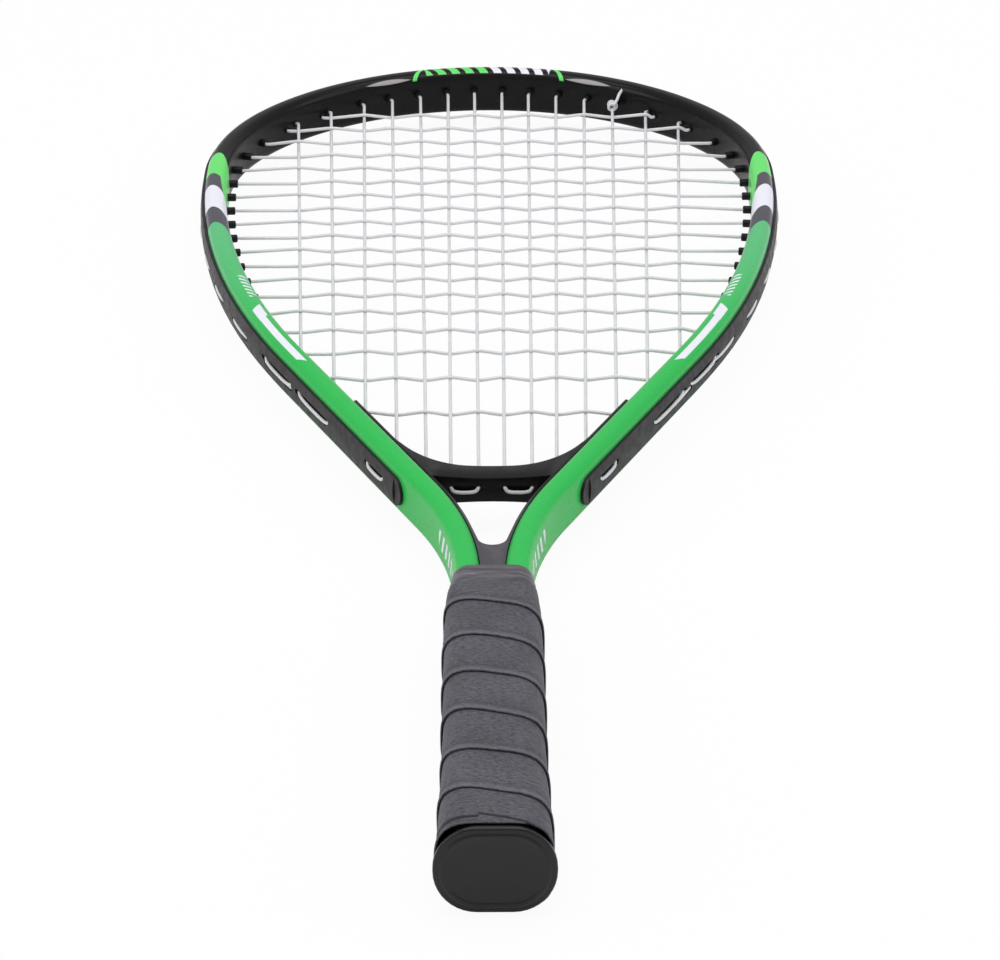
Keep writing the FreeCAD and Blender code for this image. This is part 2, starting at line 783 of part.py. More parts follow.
def make_throat():
    depth = size("throat_half_depth")
    arm_offset = -(WALL_GAP + size("arm_thickness"))
    web_y = size("core_end_y") + size("web_gap")
    neck, shaft, flank = FRAME[4], FRAME[5], FRAME[3]
    web_share = share_at_y(shaft, 0, web_y)
    web_corner = on_piece(shaft, web_share, -WALL_GAP)
    wing_share = share_at_y(flank, -WALL_GAP, size("wing_end_y"))
    wing_out = on_piece(flank, wing_share, -WALL_GAP)
    wing_in = on_piece(flank, wing_share, WING_OFFSET)
    middle_top = Vector(0, size("bridge_top_y"), 0)
    arc_turn = (math.pi - FLANK_TURN) / 2
    arc_middle = WING_ARC_CENTRE + normal_at(math.pi - arc_turn) * WING_RADIUS
    outline = [Part.makeLine(Vector(0, web_y, 0), web_corner),
               piece_edge(shaft, -WALL_GAP, 0.0, web_share),
               piece_edge(neck, -WALL_GAP),
               piece_edge(flank, -WALL_GAP, wing_share, 1.0),
               Part.makeLine(wing_out, wing_in),
               Part.makeLine(wing_in, WING_ARC_END),
               Part.Arc(WING_ARC_END, arc_middle, WING_ARC_START).toShape(),
               Part.makeLine(WING_ARC_START, middle_top)]
    body = closed_face(outline).extrude(Vector(0, 0, 2 * depth))
    body.translate(Vector(0, 0, -depth))
    # The opening between web and bridge, with a round bottom
    notch_centre = Vector(0, size("notch_bottom_y") + size("notch_radius"), 0)
    shoulder_share = share_at_y(neck, arm_offset, size("notch_shoulder_y"))
    shoulder = on_piece(neck, shoulder_share, arm_offset)
    reach = shoulder - notch_centre
    spread = math.acos(size("notch_radius") / reach.Length)
    touch_turn = math.atan2(reach.x, reach.y) + spread
    touch = notch_centre + normal_at(touch_turn) * size("notch_radius")
    low_middle = notch_centre + normal_at((touch_turn + math.pi) / 2) * size("notch_radius")
    low = Vector(0, size("notch_bottom_y"), 0)
    bar_share = share_at_y(flank, arm_offset, BRIDGE_FACE_Y)
    bar_corner = on_piece(flank, bar_share, arm_offset)
    opening = [Part.makeLine(Vector(0, BRIDGE_FACE_Y, 0), bar_corner),
               piece_edge(flank, arm_offset, bar_share, 1.0),
               piece_edge(neck, arm_offset, 0.0, shoulder_share),
               Part.makeLine(shoulder, touch),
               Part.Arc(touch, low_middle, low).toShape()]
    hole = closed_face(opening).extrude(Vector(0, 0, 4 * depth))
    hole.translate(Vector(0, 0, -2 * depth))
    # Scoops thin the bar between its arms, above and below
    arm_low = line_point_at_y(arm_offset, BRIDGE_FACE_Y - 2 * CUT_SPARE)
    arm_high = line_point_at_y(arm_offset, size("wing_end_y"))
    region = [Part.makeLine(Vector(0, arm_low.y, 0), arm_low), Part.makeLine(arm_low, arm_high),
              Part.makeLine(arm_high, Vector(0, arm_high.y, 0))]
    tools = [hole]
    scoop_radius = size("throat_scoop_radius")
    for side in (1, -1):
        block = closed_face(region).extrude(Vector(0, 0, side * 2 * depth))
        centre = Vector(0, arm_low.y - CUT_SPARE,
                        side * (size("bridge_half_depth") + scoop_radius))
        length = arm_high.y - arm_low.y + 2 * CUT_SPARE
        tools.append(block.common(Part.makeCylinder(scoop_radius, length, centre, Vector(0, 1, 0))))
    body = body.cut(tools)
    # Holes for the barrels and strings, and a groove for the loop under the bar
    tools = []
    for bore in BORES:
        if bore[0] in WING_STRINGS + (KNOT_STRING,) and bore[1].bend.y < size("first_cross_y"):
            reach = bore[1].mouth + 2 * size("string_lead") + CUT_SPARE
            tools.append(bore_cylinder(bore, HOLE_RADIUS, reach, 0))
    for name in BRIDGE_STRINGS:
        throat = MAINS[name][1]
        for end in (throat, throat.mirrored()):
            tools.append(Part.makeCylinder(BORE_RADIUS, 2 * size("bridge_thickness"),
                                           lifted(end.bend + Vector(0, CUT_SPARE, 0), MAIN_Z),
                                           Vector(0, -1, 0)))
    for run in MAIN_RUNS:
        if run[0].y < BRIDGE_RUN_Y + CUT_SPARE:
            tools += slot_boxes(run, MAIN_Z)
    return body.cut(tools)


throat_bridge = feature("throat_bridge", make_throat())


# Handle core: straight, then drawn in to the shafts, with a channel for each shaft
def add_pad(body, name, sketch, length_is):
    pad = body.newObject("PartDesign::Pad", name)
    pad.Profile = sketch
    pad.setExpression("Length", length_is)
    pad.Reversed = True
    doc.recompute()
    return pad


def add_pocket(body, name, sketch, length_is, towards_butt=False):
    pocket = body.newObject("PartDesign::Pocket", name)
    pocket.Profile = sketch
    pocket.setExpression("Length", length_is)
    pocket.Reversed = towards_butt
    doc.recompute()
    return pocket


def add_loft(body, name, kind, first, second):
    loft = body.newObject(kind, name)
    loft.Profile = first
    loft.Sections = [second]
    doc.recompute()
    return loft


def value_of(expression):
    """Number that a size expression stands for."""
    probe = doc.addObject("Part::Box", "probe")
    probe.setExpression("Length", expression)
    doc.recompute()
    number = float(probe.Length)
    doc.removeObject(probe.Name)
    return number


def section(body, name, y_is, width_is, depth_is, corner_is, across="0"):
    """Rounded rectangle across the handle at a height."""
    sketch = new_sketch(body, name, "XZ_Plane", f"-({y_is})", across)
    width, depth, corner = value_of(width_is), value_of(depth_is), value_of(corner_is)
    rounded_rectangle(sketch, "edge", width, depth, corner, width_is, depth_is, corner_is)
    doc.recompute()
    return sketch


CORE = ("Sizes.core_width", "Sizes.core_depth", "Sizes.core_corner")
SHAFTS_WIDTH = "2 * Sizes.shaft_half_spacing + Sizes.tube_width"


def grown(sizes, margin):
    """The same rounded rectangle, larger all round by a margin."""
    width, depth, corner = sizes
    return (f"{width} + 2 * ({margin})", f"{depth} + 2 * ({margin})", f"{corner} + ({margin})")


SHAFTS = (SHAFTS_WIDTH, "Sizes.tube_depth", "Sizes.tube_corner")
SHAFT = ("Sizes.tube_width", "Sizes.tube_depth", "Sizes.tube_corner")


def make_core():
    body = new_body("handle_core")
    low = section(body, "core_low", "Sizes.core_start_y", *CORE)
    add_pad(body, "core_straight", low, "Sizes.core_taper_y - Sizes.core_start_y")
    taper = section(body, "core_taper", "Sizes.core_taper_y", *CORE)
    end = section(body, "core_end", "Sizes.core_end_y", *grown(SHAFTS, "Sizes.core_end_wall"))
    add_loft(body, "core_drawn_in", "PartDesign::AdditiveLoft", taper, end)
    for name, sign in (("right", ""), ("left", "-")):
        channel = section(body, name + "_channel", "Sizes.core_end_y",
                          *grown(SHAFT, "Sizes.core_shaft_clearance"),
                          across=sign + "Sizes.shaft_half_spacing")
        add_pocket(body, name + "_shaft_space", channel,
                   "Sizes.core_end_y - Sizes.shaft_end_y + Sizes.core_shaft_clearance", True)
    return body


def make_cap():
    body = new_body("cap_blank")
    flange = ("Sizes.cap_width", "Sizes.cap_depth", "Sizes.cap_corner")
    skirt = grown(CORE, "Sizes.cap_clearance + Sizes.cap_skirt_wall")
    face = section(body, "flange_face", "0", *flange)
    flange_pad = add_pad(body, "flange", face, "Sizes.cap_flange")
    rim_edges = [f"Edge{index}" for index, item in enumerate(flange_pad.Shape.Edges, start=1)
                 if max(vertex.Y for vertex in item.Vertexes) < size("cap_flange") / 2]
    edge = body.newObject("PartDesign::Fillet", "flange_edge")
    edge.Base = (flange_pad, rim_edges)
    edge.setExpression("Radius", "Sizes.cap_edge_fillet")
    doc.recompute()
    skirt_low = section(body, "skirt_low", "Sizes.cap_flange", *grown(skirt, "Sizes.cap_skirt_flare"))
    skirt_high = section(body, "skirt_high", "Sizes.cap_skirt_end_y", *skirt)
    add_loft(body, "skirt", "PartDesign::AdditiveLoft", skirt_low, skirt_high)
    cup = section(body, "cup", "Sizes.core_start_y - Sizes.cap_clearance",
                  *grown(CORE, "Sizes.cap_clearance"))
    add_pocket(body, "core_space", cup, "Sizes.cap_skirt_end_y")
    panel = section(body, "panel", "0",
                    *grown(flange, "-Sizes.cap_rim_inset - Sizes.cap_rim_width"))
    add_pocket(body, "panel_recess", panel, "Sizes.cap_panel_recess")
    border = new_sketch(body, "border", "XZ_Plane")
    for tag, sizes in (("outer", grown(flange, "Sizes.cap_flange")),
                       ("inner", grown(flange, "-Sizes.cap_rim_inset"))):
        rounded_rectangle(border, tag, *(value_of(item) for item in sizes), *sizes)
    doc.recompute()
    add_pocket(body, "border_step", border, "Sizes.cap_panel_recess")
    return body


def staple(side, margin, outward):
    """Staple across the cap's skirt, or with a margin the space it needs."""
    crown, width = size("staple_crown"), size("staple_width")
    thickness, leg = size("staple_thickness"), size("staple_leg")
    top = (size("core_depth") / 2 + size("cap_clearance") + size("cap_skirt_wall"))
    y = size("staple_y") - width / 2
    parts = [Part.makeBox(crown + 2 * margin, width + 2 * margin, thickness + margin + outward,
                          Vector(-crown / 2 - margin, y - margin, top - thickness - margin))]
    for x in (-crown / 2, crown / 2 - thickness):
        parts.append(Part.makeBox(thickness + 2 * margin, width + 2 * margin, leg + margin,
                                  Vector(x - margin, y - margin, top - leg - margin)))
    solid = parts[0].fuse(parts[1:]).removeSplitter()
    if side < 0:
        solid = solid.mirror(Vector(0, 0, 0), Vector(0, 0, 1))
    return solid


handle_core = make_core()
cap_blank = make_cap()
staple_space = doc.addObject("Part::Feature", "staple_space")
staple_space.Shape = Part.makeCompound([staple(side, size("staple_clearance"), CUT_SPARE)
                                        for side in (1, -1)])
core_cut = doc.addObject("Part::Cut", "core_with_staple_holes")
core_cut.Base = handle_core
core_cut.Tool = staple_space
butt_cap = doc.addObject("Part::Cut", "butt_cap")
butt_cap.Base = cap_blank
butt_cap.Tool = staple_space
butt_cap.Label = "butt_cap"
butt_cap_staples = feature("butt_cap_staples", Part.makeCompound([staple(side, 0, 0)
                                                                  for side in (1, -1)]))


def make_shell(label, lower):
    """Half of the handle core, above or below the split."""
    block = doc.addObject("Part::Box", label + "_block")
    block.setExpression("Length", "2 * Sizes.core_width")
    block.setExpression("Width", "Sizes.core_end_y")
    block.setExpression("Height", "Sizes.core_depth")
    block.setExpression("Placement.Base.x", "-Sizes.core_width")
    height_is = "Sizes.core_split_gap / 2"
    block.setExpression("Placement.Base.z",
                        f"-{height_is} - Sizes.core_depth" if lower else height_is)
    half = doc.addObject("Part::Common", label)
    half.Base = core_cut
    half.Tool = block
    half.Label = label
    return half


handle_shell_upper = make_shell("handle_shell_upper", False)
handle_shell_lower = make_shell("handle_shell_lower", True)
doc.recompute()


# Grip tape: one strip wound round the handle, each turn lapping over the one below
def under_tape(y):
    """Half width and half depth of what the tape lies on."""
    core = (size("core_width") / 2, size("core_depth") / 2)
    skirt_margin = size("cap_clearance") + size("cap_skirt_wall")
    end_margin = size("core_end_wall") + TUBE_HALF
    neck = (size("shaft_half_spacing") + end_margin,
            TUBE_HALF_DEPTH + size("core_end_wall"))
    skirt_end, flange = size("cap_skirt_end_y"), size("cap_flange")
    if y <= skirt_end:
        share = min(1.0, (skirt_end - y) / (skirt_end - flange))
        margin = skirt_margin + share * size("cap_skirt_flare")
        return tuple(half + margin for half in core)
    if y <= skirt_end + size("tape_step_ramp"):
        share = 1 - (y - skirt_end) / size("tape_step_ramp")
        return tuple(half + share * skirt_margin for half in core)
    if y <= size("core_taper_y"):
        return core
    share = (y - size("core_taper_y")) / (size("core_end_y") - size("core_taper_y"))
    return tuple(a + (b - a) * share for a, b in zip(core, neck))


def tape_point(turn, across, outer):
    """Point of the tape at a winding angle; across is 0 at its lower edge and 1 at its upper."""
    width = size("tape_width")
    low = size("tape_phase_y") + size("tape_pitch") * (turn / (2 * math.pi) - 0.25)
    y_low = min(max(low, size("tape_start_y")), size("tape_end_y"))
    y_high = min(max(low + width, size("tape_start_y")), size("tape_end_y"))
    y = y_low + (y_high - y_low) * across
    share = min(1.0, max(0.0, (y - low) / width))
    lap = size("tape_thickness") + size("tape_lap_gap")
    # The first turn has nothing below it, so its lower edge lies down on the cap
    rise = min(1.0, max(0.0, (turn - TAPE_FIRST_TURN - FIRST_LAP_TURN) / FIRST_LAP_EASE))
    height = size("tape_core_gap") + lap * (1 - share) * rise
    if outer:
        height += size("tape_thickness")
    half_width, half_depth = under_tape(y)
    drawn_in = (y - size("core_taper_y")) / (size("core_end_y") - size("core_taper_y"))
    power = size("tape_squareness")
    power += (size("tape_neck_squareness") - power) * min(1.0, max(0.0, drawn_in))
    pull = (abs(math.cos(turn)) / (half_width + height)) ** power
    pull += (abs(math.sin(turn)) / (half_depth + height)) ** power
    radius = pull ** (-1 / power)
    return Vector(radius * math.cos(turn), y, radius * math.sin(turn))


TAPE_STEP = math.pi / 4
FIRST_LAP_TURN = 1.5 * math.pi  # winding angle at which the tape starts to climb on itself
FIRST_LAP_EASE = math.pi / 2


def tape_turn_at(low_y):
    return 2 * math.pi * ((low_y - size("tape_phase_y")) / size("tape_pitch") + 0.25)


FIRST_STEP = math.ceil(tape_turn_at(size("tape_start_y") + size("tape_blunt_end")
                                    - size("tape_width")) / TAPE_STEP)
LAST_STEP = math.floor(tape_turn_at(size("tape_end_y") - size("tape_blunt_end")) / TAPE_STEP)
TAPE_FIRST_TURN = FIRST_STEP * TAPE_STEP


def tape_edge(turn, across, outer):
    points = [tape_point(turn + TAPE_STEP * share, across, outer) for share in (0, 0.5, 1)]
    return Part.Arc(*points).toShape()


def make_tape():
    faces = []
    corners = [(0, False), (1, False), (1, True), (0, True)]
    for step in range(FIRST_STEP, LAST_STEP):
        turn = step * TAPE_STEP
        edges = [tape_edge(turn, *corner) for corner in corners]
        for index in range(4):
            faces.append(Part.makeRuledSurface(edges[index], edges[(index + 1) % 4]))
    for step in (FIRST_STEP, LAST_STEP):
        points = [tape_point(step * TAPE_STEP, *corner) for corner in corners]
        faces.append(Part.Face(Part.makePolygon(points + points[:1])))
    sewn = Part.makeCompound(faces)
    sewn.sewShape(0.001)
    solid = Part.Solid(sewn.Shells[0])
    if solid.Volume < 0:
        solid.reverse()
    return solid


def least_lap_gap():
    """Smallest distance between the outside of a turn and the inside of the next one."""
    shares = [index / LAP_SAMPLES for index in range(LAP_SAMPLES + 1)]
    least = size("tape_width")
    for step in range(FIRST_STEP, LAST_STEP - round(2 * math.pi / TAPE_STEP)):
        turn = step * TAPE_STEP
        below = [tape_point(turn, share, True) for share in shares]
        above = [tape_point(turn + 2 * math.pi, share, False) for share in shares]
        least = min([least] + [(a - b).Length for a in below for b in above])
    return least


LAP_SAMPLES = 24
grip_tape = feature("grip_tape", make_tape())
print("least gap between turns of the grip tape", round(least_lap_gap(), 3))


# Finishing tape: a thin band over the grip tape's upper end and the shafts
def make_collar():
    body = new_body("finishing_tape")
    bore_end = grown(SHAFTS, "Sizes.collar_clearance")
    bore_start = grown(bore_end, "Sizes.collar_flare")
    for kind, name, margin in (("PartDesign::AdditiveLoft", "band", "Sizes.collar_thickness"),
                               ("PartDesign::SubtractiveLoft", "bore", "0")):
        start = section(body, name + "_start", "Sizes.collar_start_y", *grown(bore_start, margin))
        end = section(body, name + "_end", "Sizes.collar_end_y", *grown(bore_end, margin))
        add_loft(body, name, kind, start, end)
    return body


finishing_tape = make_collar()
doc.recompute()

NODES = [frame_tube, throat_bridge, grommet_strip, main_string, cross_string, tie_off_knot,
         handle_shell_upper, handle_shell_lower, butt_cap, butt_cap_staples, grip_tape,
         finishing_tape]

# Every feature must have recomputed cleanly and every piece must be sound before it is written
for item in doc.Objects:
    if "Invalid" in item.State or "Error" in item.State:
        raise RuntimeError(f"{item.Label} did not recompute: {item.State}")
for item in NODES:
    shape = item.Shape
    if shape.isNull() or not shape.isValid() or shape.Volume <= 0:
        raise RuntimeError(f"{item.Label} has no sound shape")
    box = shape.BoundBox
    print(item.Label, "solids", len(shape.Solids), "volume", round(shape.Volume),
          "x", round(box.XMin, 1), round(box.XMax, 1), "y", round(box.YMin, 1), round(box.YMax, 1),
          "z", round(box.ZMin, 1), round(box.ZMax, 1))

os.makedirs("parts", exist_ok=True)
for item in NODES:
    item.Shape.exportStep(f"parts/{item.Label}.step")
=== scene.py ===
import math

import bmesh
import bpy
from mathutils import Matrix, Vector
from mathutils import noise as pattern


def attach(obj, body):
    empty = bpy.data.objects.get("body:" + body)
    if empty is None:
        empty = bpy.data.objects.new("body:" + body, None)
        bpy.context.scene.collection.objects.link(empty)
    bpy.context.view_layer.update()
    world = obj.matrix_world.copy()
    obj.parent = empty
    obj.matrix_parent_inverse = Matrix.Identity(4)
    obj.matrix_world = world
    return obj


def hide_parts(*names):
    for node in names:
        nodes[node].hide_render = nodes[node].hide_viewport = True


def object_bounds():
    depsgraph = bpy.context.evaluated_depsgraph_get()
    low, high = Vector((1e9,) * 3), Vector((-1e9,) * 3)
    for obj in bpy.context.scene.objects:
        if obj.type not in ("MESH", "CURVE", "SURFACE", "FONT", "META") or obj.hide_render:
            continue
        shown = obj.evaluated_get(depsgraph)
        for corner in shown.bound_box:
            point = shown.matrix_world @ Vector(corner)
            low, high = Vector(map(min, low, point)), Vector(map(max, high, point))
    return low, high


# Crossminton racket, metres. The origin is the centre of the butt, +Y runs to the head's tip,
# +Z is square to the strings.

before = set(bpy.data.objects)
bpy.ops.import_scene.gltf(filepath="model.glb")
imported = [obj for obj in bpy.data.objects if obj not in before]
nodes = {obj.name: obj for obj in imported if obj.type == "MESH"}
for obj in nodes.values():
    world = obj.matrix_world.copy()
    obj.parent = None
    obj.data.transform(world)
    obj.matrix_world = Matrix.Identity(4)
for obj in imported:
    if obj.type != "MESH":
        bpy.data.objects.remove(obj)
cad_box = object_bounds()
MM = 0.001

# Centre line of the frame's right half. Each arc of the head has a radius and a sweep in degrees
TIP_Y = 582.2 * MM
HEAD_ARCS = ((107.8 * MM, 51.5), (92.4 * MM, 37.2), (373.5 * MM, 26.5))
NECK_RADIUS = 140.0 * MM
SHAFT_X = 8.0 * MM
SHAFT_END_Y = 12.0 * MM
TUBE_WIDTH = 8.2 * MM
TUBE_DEPTH = 18.0 * MM
TUBE_CORNER = 3.4 * MM

# Strings: how far each long string is from the middle at two reference heights, in millimetres
STRING_DIAMETER = 1.25 * MM
BED_HEIGHT = 0.645 * MM
LONG_TOP_Y, LONG_LOW_Y = 560 * MM, 300 * MM
LONG_STRINGS = ((5.5, 4.5), (16.2, 14.0), (27.3, 22.7), (38.7, 32.7), (50.1, 43.3), (63.5, 54.1),
                (76.7, 65.4))
CROSS_COUNT = 19
FIRST_CROSS_Y, CROSS_PITCH = 285 * MM, 12.2 * MM
CROSS_LOW_GAP, CROSS_LOW_RATIO, CROSS_TOP_GAP = 14.7 * MM, 0.62, 1.5 * MM
BARREL_REACH, BARREL_CORNER_LOSS = 3.2 * MM, 0.85
STRING_LEAD = 0.7 * MM
HALF_CROSSING = 0.8 * MM
CORNER_LEAD, CORNER_SHARE = 1.0 * MM, 0.3
KNOT_COLUMN = 4
# Each side's long strings are counted from the middle: the first ones end on the bridge, the
# next ones on its wings and the others on the flanks
BRIDGE_STRINGS, THROAT_STRINGS = 2, 4
# Runs outside the frame: how far out they lie, how far they stand proud and hang, and the share
# of both at places along a run
RUN_OFFSET = 5.075 * MM
RUN_PROUD, RUN_SAG = 0.7 * MM, 0.5 * MM
BRIDGE_PROUD, BRIDGE_SAG = 0.8 * MM, 0.8 * MM
RUN_STOPS = ((0.08, 0.6), (0.3, 0.95), (0.7, 0.95), (0.92, 0.6))
RUN_MARGIN = 0.62 * STRING_DIAMETER
BRIDGE_TOP_Y, BRIDGE_RUN_Y = 237.4 * MM, 228.875 * MM
WING_OFFSET = -5.15 * MM
WING_RADIUS = 28 * MM
SAME_HEIGHT = 0.001 * MM
STRING_ROUNDNESS = 3
SOLVE_ROUNDS = 12
TINY = 1e-9


def normal_at(turn):
    return Vector((math.sin(turn), math.cos(turn), 0))


def heading_at(turn):
    return Vector((math.cos(turn), -math.sin(turn), 0))


def frame_pieces():
    """Arcs (centre, radius, start and end turn, side) and lines (start, end, their turn twice)
    from the tip to the end of the right shaft. Side is -1 where an arc bulges inwards."""
    pieces = []
    turn, point = 0.0, Vector((0, TIP_Y, 0))
    for radius, degrees in HEAD_ARCS:
        sweep = math.radians(degrees)
        centre = point - normal_at(turn) * radius
        pieces.append(("arc", centre, radius, turn, turn + sweep, 1))
        turn += sweep
        point = centre + normal_at(turn) * radius
    shift = NECK_RADIUS * (1 - math.cos(turn - math.pi / 2))
    length = (point.x - shift - SHAFT_X) / -math.cos(turn)
    neck_start = point + heading_at(turn) * length
    pieces.append(("line", point, neck_start, turn, turn, 1))
    centre = neck_start + normal_at(turn) * NECK_RADIUS
    pieces.append(("arc", centre, NECK_RADIUS, turn, math.pi / 2, -1))
    start = centre - normal_at(math.pi / 2) * NECK_RADIUS
    pieces.append(("line", start, Vector((start.x, SHAFT_END_Y, 0)), math.pi / 2, math.pi / 2, 1))
    return pieces


FRAME = frame_pieces()
FLANK = FRAME[3]


def piece_length(piece):
    kind, first, second, start, end, side = piece
    return (second - first).length if kind == "line" else abs(end - start) * second


def foot_on_frame(point):
    """Distance along the right half from the tip, and outwards from its centre line."""
    probe = Vector((abs(point.x), point.y, 0))
    best, travelled = None, 0.0
    for piece in FRAME:
        kind, first, second, start, end, side = piece
        length = piece_length(piece)
        if kind == "line":
            share = (probe - first).dot(heading_at(start)) / length
            offset = (probe - first).dot(normal_at(start))
        else:
            away = (probe - first) * side
            turn = math.atan2(away.x, away.y)
            share = (turn - start) / (end - start)
            offset = side * (away.length - second)
        held = min(1.0, max(0.0, share))
        miss = math.hypot(offset, (share - held) * length)
        if best is None or miss < best[0]:
            best = (miss, travelled + held * length, offset)
        travelled += length
    return best[1], best[2]


def outward_of(point):
    """Direction square to the tube, pointing outwards, at a point on either side."""
    step = 0.05 * MM
    _, here = foot_on_frame(point)
    _, right = foot_on_frame(point + Vector((step, 0, 0)))
    _, up = foot_on_frame(point + Vector((0, step, 0)))
    return Vector((right - here, up - here, 0)).normalized()


def first_hit(start, direction, offset):
    """Nearest crossing of a ray with the right half at an offset: its point and outward normal."""
    best = None
    for kind, first, second, low, high, side in FRAME:
        hits = []
        if kind == "line":
            base, along = first + normal_at(low) * offset, second - first
            cross = direction.x * along.y - direction.y * along.x
            if abs(cross) > TINY:
                gap = base - start
                share = (gap.x * direction.y - gap.y * direction.x) / cross
                if 0 <= share <= 1:
                    hits.append(((gap.x * along.y - gap.y * along.x) / cross, normal_at(low)))
        else:
            radius = second + side * offset
            gap = start - first
            half = gap.dot(direction)
            root = half * half - gap.dot(gap) + radius * radius
            for sign in (-1, 1) if root >= 0 else ():
                reach = -half + sign * math.sqrt(root)
                normal = (start + direction * reach - first) * (side / radius)
                if min(low, high) <= math.atan2(normal.x, normal.y) <= max(low, high):
                    hits.append((reach, normal))
        for reach, normal in hits:
            if reach > 0 and (best is None or reach < best[0]):
                best = (reach, start + direction * reach, normal)
    return best[1], best[2]


def mirrored(point):
    return Vector((-point.x, point.y, point.z))


# Small modelling helpers
JOIN_DISTANCE = 0.002 * MM


def clear_selection():
    if bpy.context.object and bpy.context.object.mode != "OBJECT":
        bpy.ops.object.mode_set(mode="OBJECT")
    bpy.ops.object.select_all(action="DESELECT")


def pick(piece):
    clear_selection()
    piece.select_set(True)
    bpy.context.view_layer.objects.active = piece


def apply_place(piece):
    pick(piece)
    bpy.ops.object.transform_apply(location=True, rotation=True, scale=True)


def apply_modifier(piece, kind, **settings):
    pick(piece)
    modifier = piece.modifiers.new(kind.lower(), kind)
    for name, value in settings.items():
        setattr(modifier, name, value)
    bpy.ops.object.modifier_apply(modifier=modifier.name)


def smooth(piece, degrees=40):
    pick(piece)
    bpy.ops.object.shade_smooth_by_angle(angle=math.radians(degrees))


def outward(piece):
    pick(piece)
    bpy.ops.object.mode_set(mode="EDIT")
    bpy.ops.mesh.select_all(action="SELECT")
    bpy.ops.mesh.normals_make_consistent(inside=False)
    bpy.ops.object.mode_set(mode="OBJECT")


def own_copy(node_name, name):
    """Copy of a CAD node with its loose triangles joined."""
    piece = nodes[node_name].copy()
    piece.data = nodes[node_name].data.copy()
    piece.parent = None
    piece.name = name
    for key in list(piece.keys()):
        if key.startswith("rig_"):
            del piece[key]
    bpy.context.scene.collection.objects.link(piece)
    pick(piece)
    bpy.ops.object.mode_set(mode="EDIT")
    bpy.ops.mesh.select_all(action="SELECT")
    if piece.data.has_custom_normals:
        bpy.ops.mesh.customdata_custom_splitnormals_clear()
    bpy.ops.mesh.remove_doubles(threshold=JOIN_DISTANCE)
    bpy.ops.mesh.normals_make_consistent(inside=False)
    bpy.ops.object.mode_set(mode="OBJECT")
    return piece


def finish_piece(piece, node_names, material):
    piece.data.materials.clear()
    piece.data.materials.append(material)
    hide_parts(*node_names)
    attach(piece, "root")


# Material helpers
PATCH_SHADES = 0.82, 1.18


def new_material(name):
    material = bpy.data.materials.new(name)
    material.use_nodes = True
    tree = material.node_tree
    return material, tree, tree.nodes["Principled BSDF"]


def node(tree, kind, **settings):
    item = tree.nodes.new(kind)
    for key, value in settings.items():
        setattr(item, key, value)
    return item


def feed(tree, item, index, value):
    """Gives a socket a number or another node's output."""
    if value is None:
        return
    if hasattr(value, "links"):
        tree.links.new(value, item.inputs[index])
    else:
        item.inputs[index].default_value = value


def sums(tree, operation, first, second=None, third=None):
    item = node(tree, "ShaderNodeMath", operation=operation)
    for index, value in enumerate((first, second, third)):
        feed(tree, item, index, value)
    return item.outputs[0]


def span(tree, value, low, high, soft):
    """1 between two values and 0 outside, with soft edges."""
    up = ramp(tree, value, low - soft, low + soft, 0, 1)
    down = ramp(tree, value, high - soft, high + soft, 1, 0)
    return sums(tree, "MULTIPLY", up, down)


def ramp(tree, value, low, high, start, end, smoothly=True):
    """Runs from start to end while a value runs from low to high."""
    item = node(tree, "ShaderNodeMapRange",
                interpolation_type="SMOOTHSTEP" if smoothly else "LINEAR")
    for index, part in enumerate((value, low, high, start, end)):
        feed(tree, item, index, part)
    return item.outputs[0]


def blend(tree, share, first, second):
    item = node(tree, "ShaderNodeMix", data_type="RGBA")
    feed(tree, item, 0, share)
    feed(tree, item, 6, first)
    feed(tree, item, 7, second)
    return item.outputs[2]


def noise(tree, coordinate, scale, detail=3.0, roughness=0.5, stretch=None):
    if stretch:
        mapping = node(tree, "ShaderNodeMapping")
        tree.links.new(coordinate, mapping.inputs[0])
        mapping.inputs["Scale"].default_value = stretch
        coordinate = mapping.outputs[0]
    item = node(tree, "ShaderNodeTexNoise")
    tree.links.new(coordinate, item.inputs["Vector"])
    item.inputs["Scale"].default_value = scale
    item.inputs["Detail"].default_value = detail
    item.inputs["Roughness"].default_value = roughness
    return item.outputs["Fac"]


def bump(tree, shader, height, distance, strength=1.0):
    item = node(tree, "ShaderNodeBump")
    item.inputs["Strength"].default_value = strength
    item.inputs["Distance"].default_value = distance
    tree.links.new(height, item.inputs["Height"])
    tree.links.new(item.outputs[0], shader.inputs["Normal"])


def rgb(red, green, blue):
    """Colour written as it looks on a screen, 0 to 255."""
    def linear(value):
        value /= 255
        return value / 12.92 if value <= 0.04045 else ((value + 0.055) / 1.055) ** 2.4
    return (linear(red), linear(green), linear(blue), 1.0)


def object_place(tree):
    return node(tree, "ShaderNodeTexCoord").outputs["Object"]


def plastic(name, colour, rough, grain, scale, coat=0.0):
    """Moulded plastic or foam with soft patches, uneven gloss and a fine grain."""
    material, tree, shader = new_material(name)
    place = object_place(tree)
    patches = noise(tree, place, 55, 4)
    darker, lighter = (tuple(channel * share for channel in colour[:3]) + (1,)
                       for share in PATCH_SHADES)
    tree.links.new(blend(tree, patches, darker, lighter), shader.inputs["Base Color"])
    streaks = noise(tree, place, 240, 3)
    tree.links.new(ramp(tree, streaks, 0.3, 0.7, rough - 0.06, rough + 0.07),
                   shader.inputs["Roughness"])
    shader.inputs["Specular IOR Level"].default_value = 0.25
    shader.inputs["Coat Weight"].default_value = coat
    shader.inputs["Coat Roughness"].default_value = 0.12
    bump(tree, shader, noise(tree, place, scale, 2), grain, 0.6)
    return material


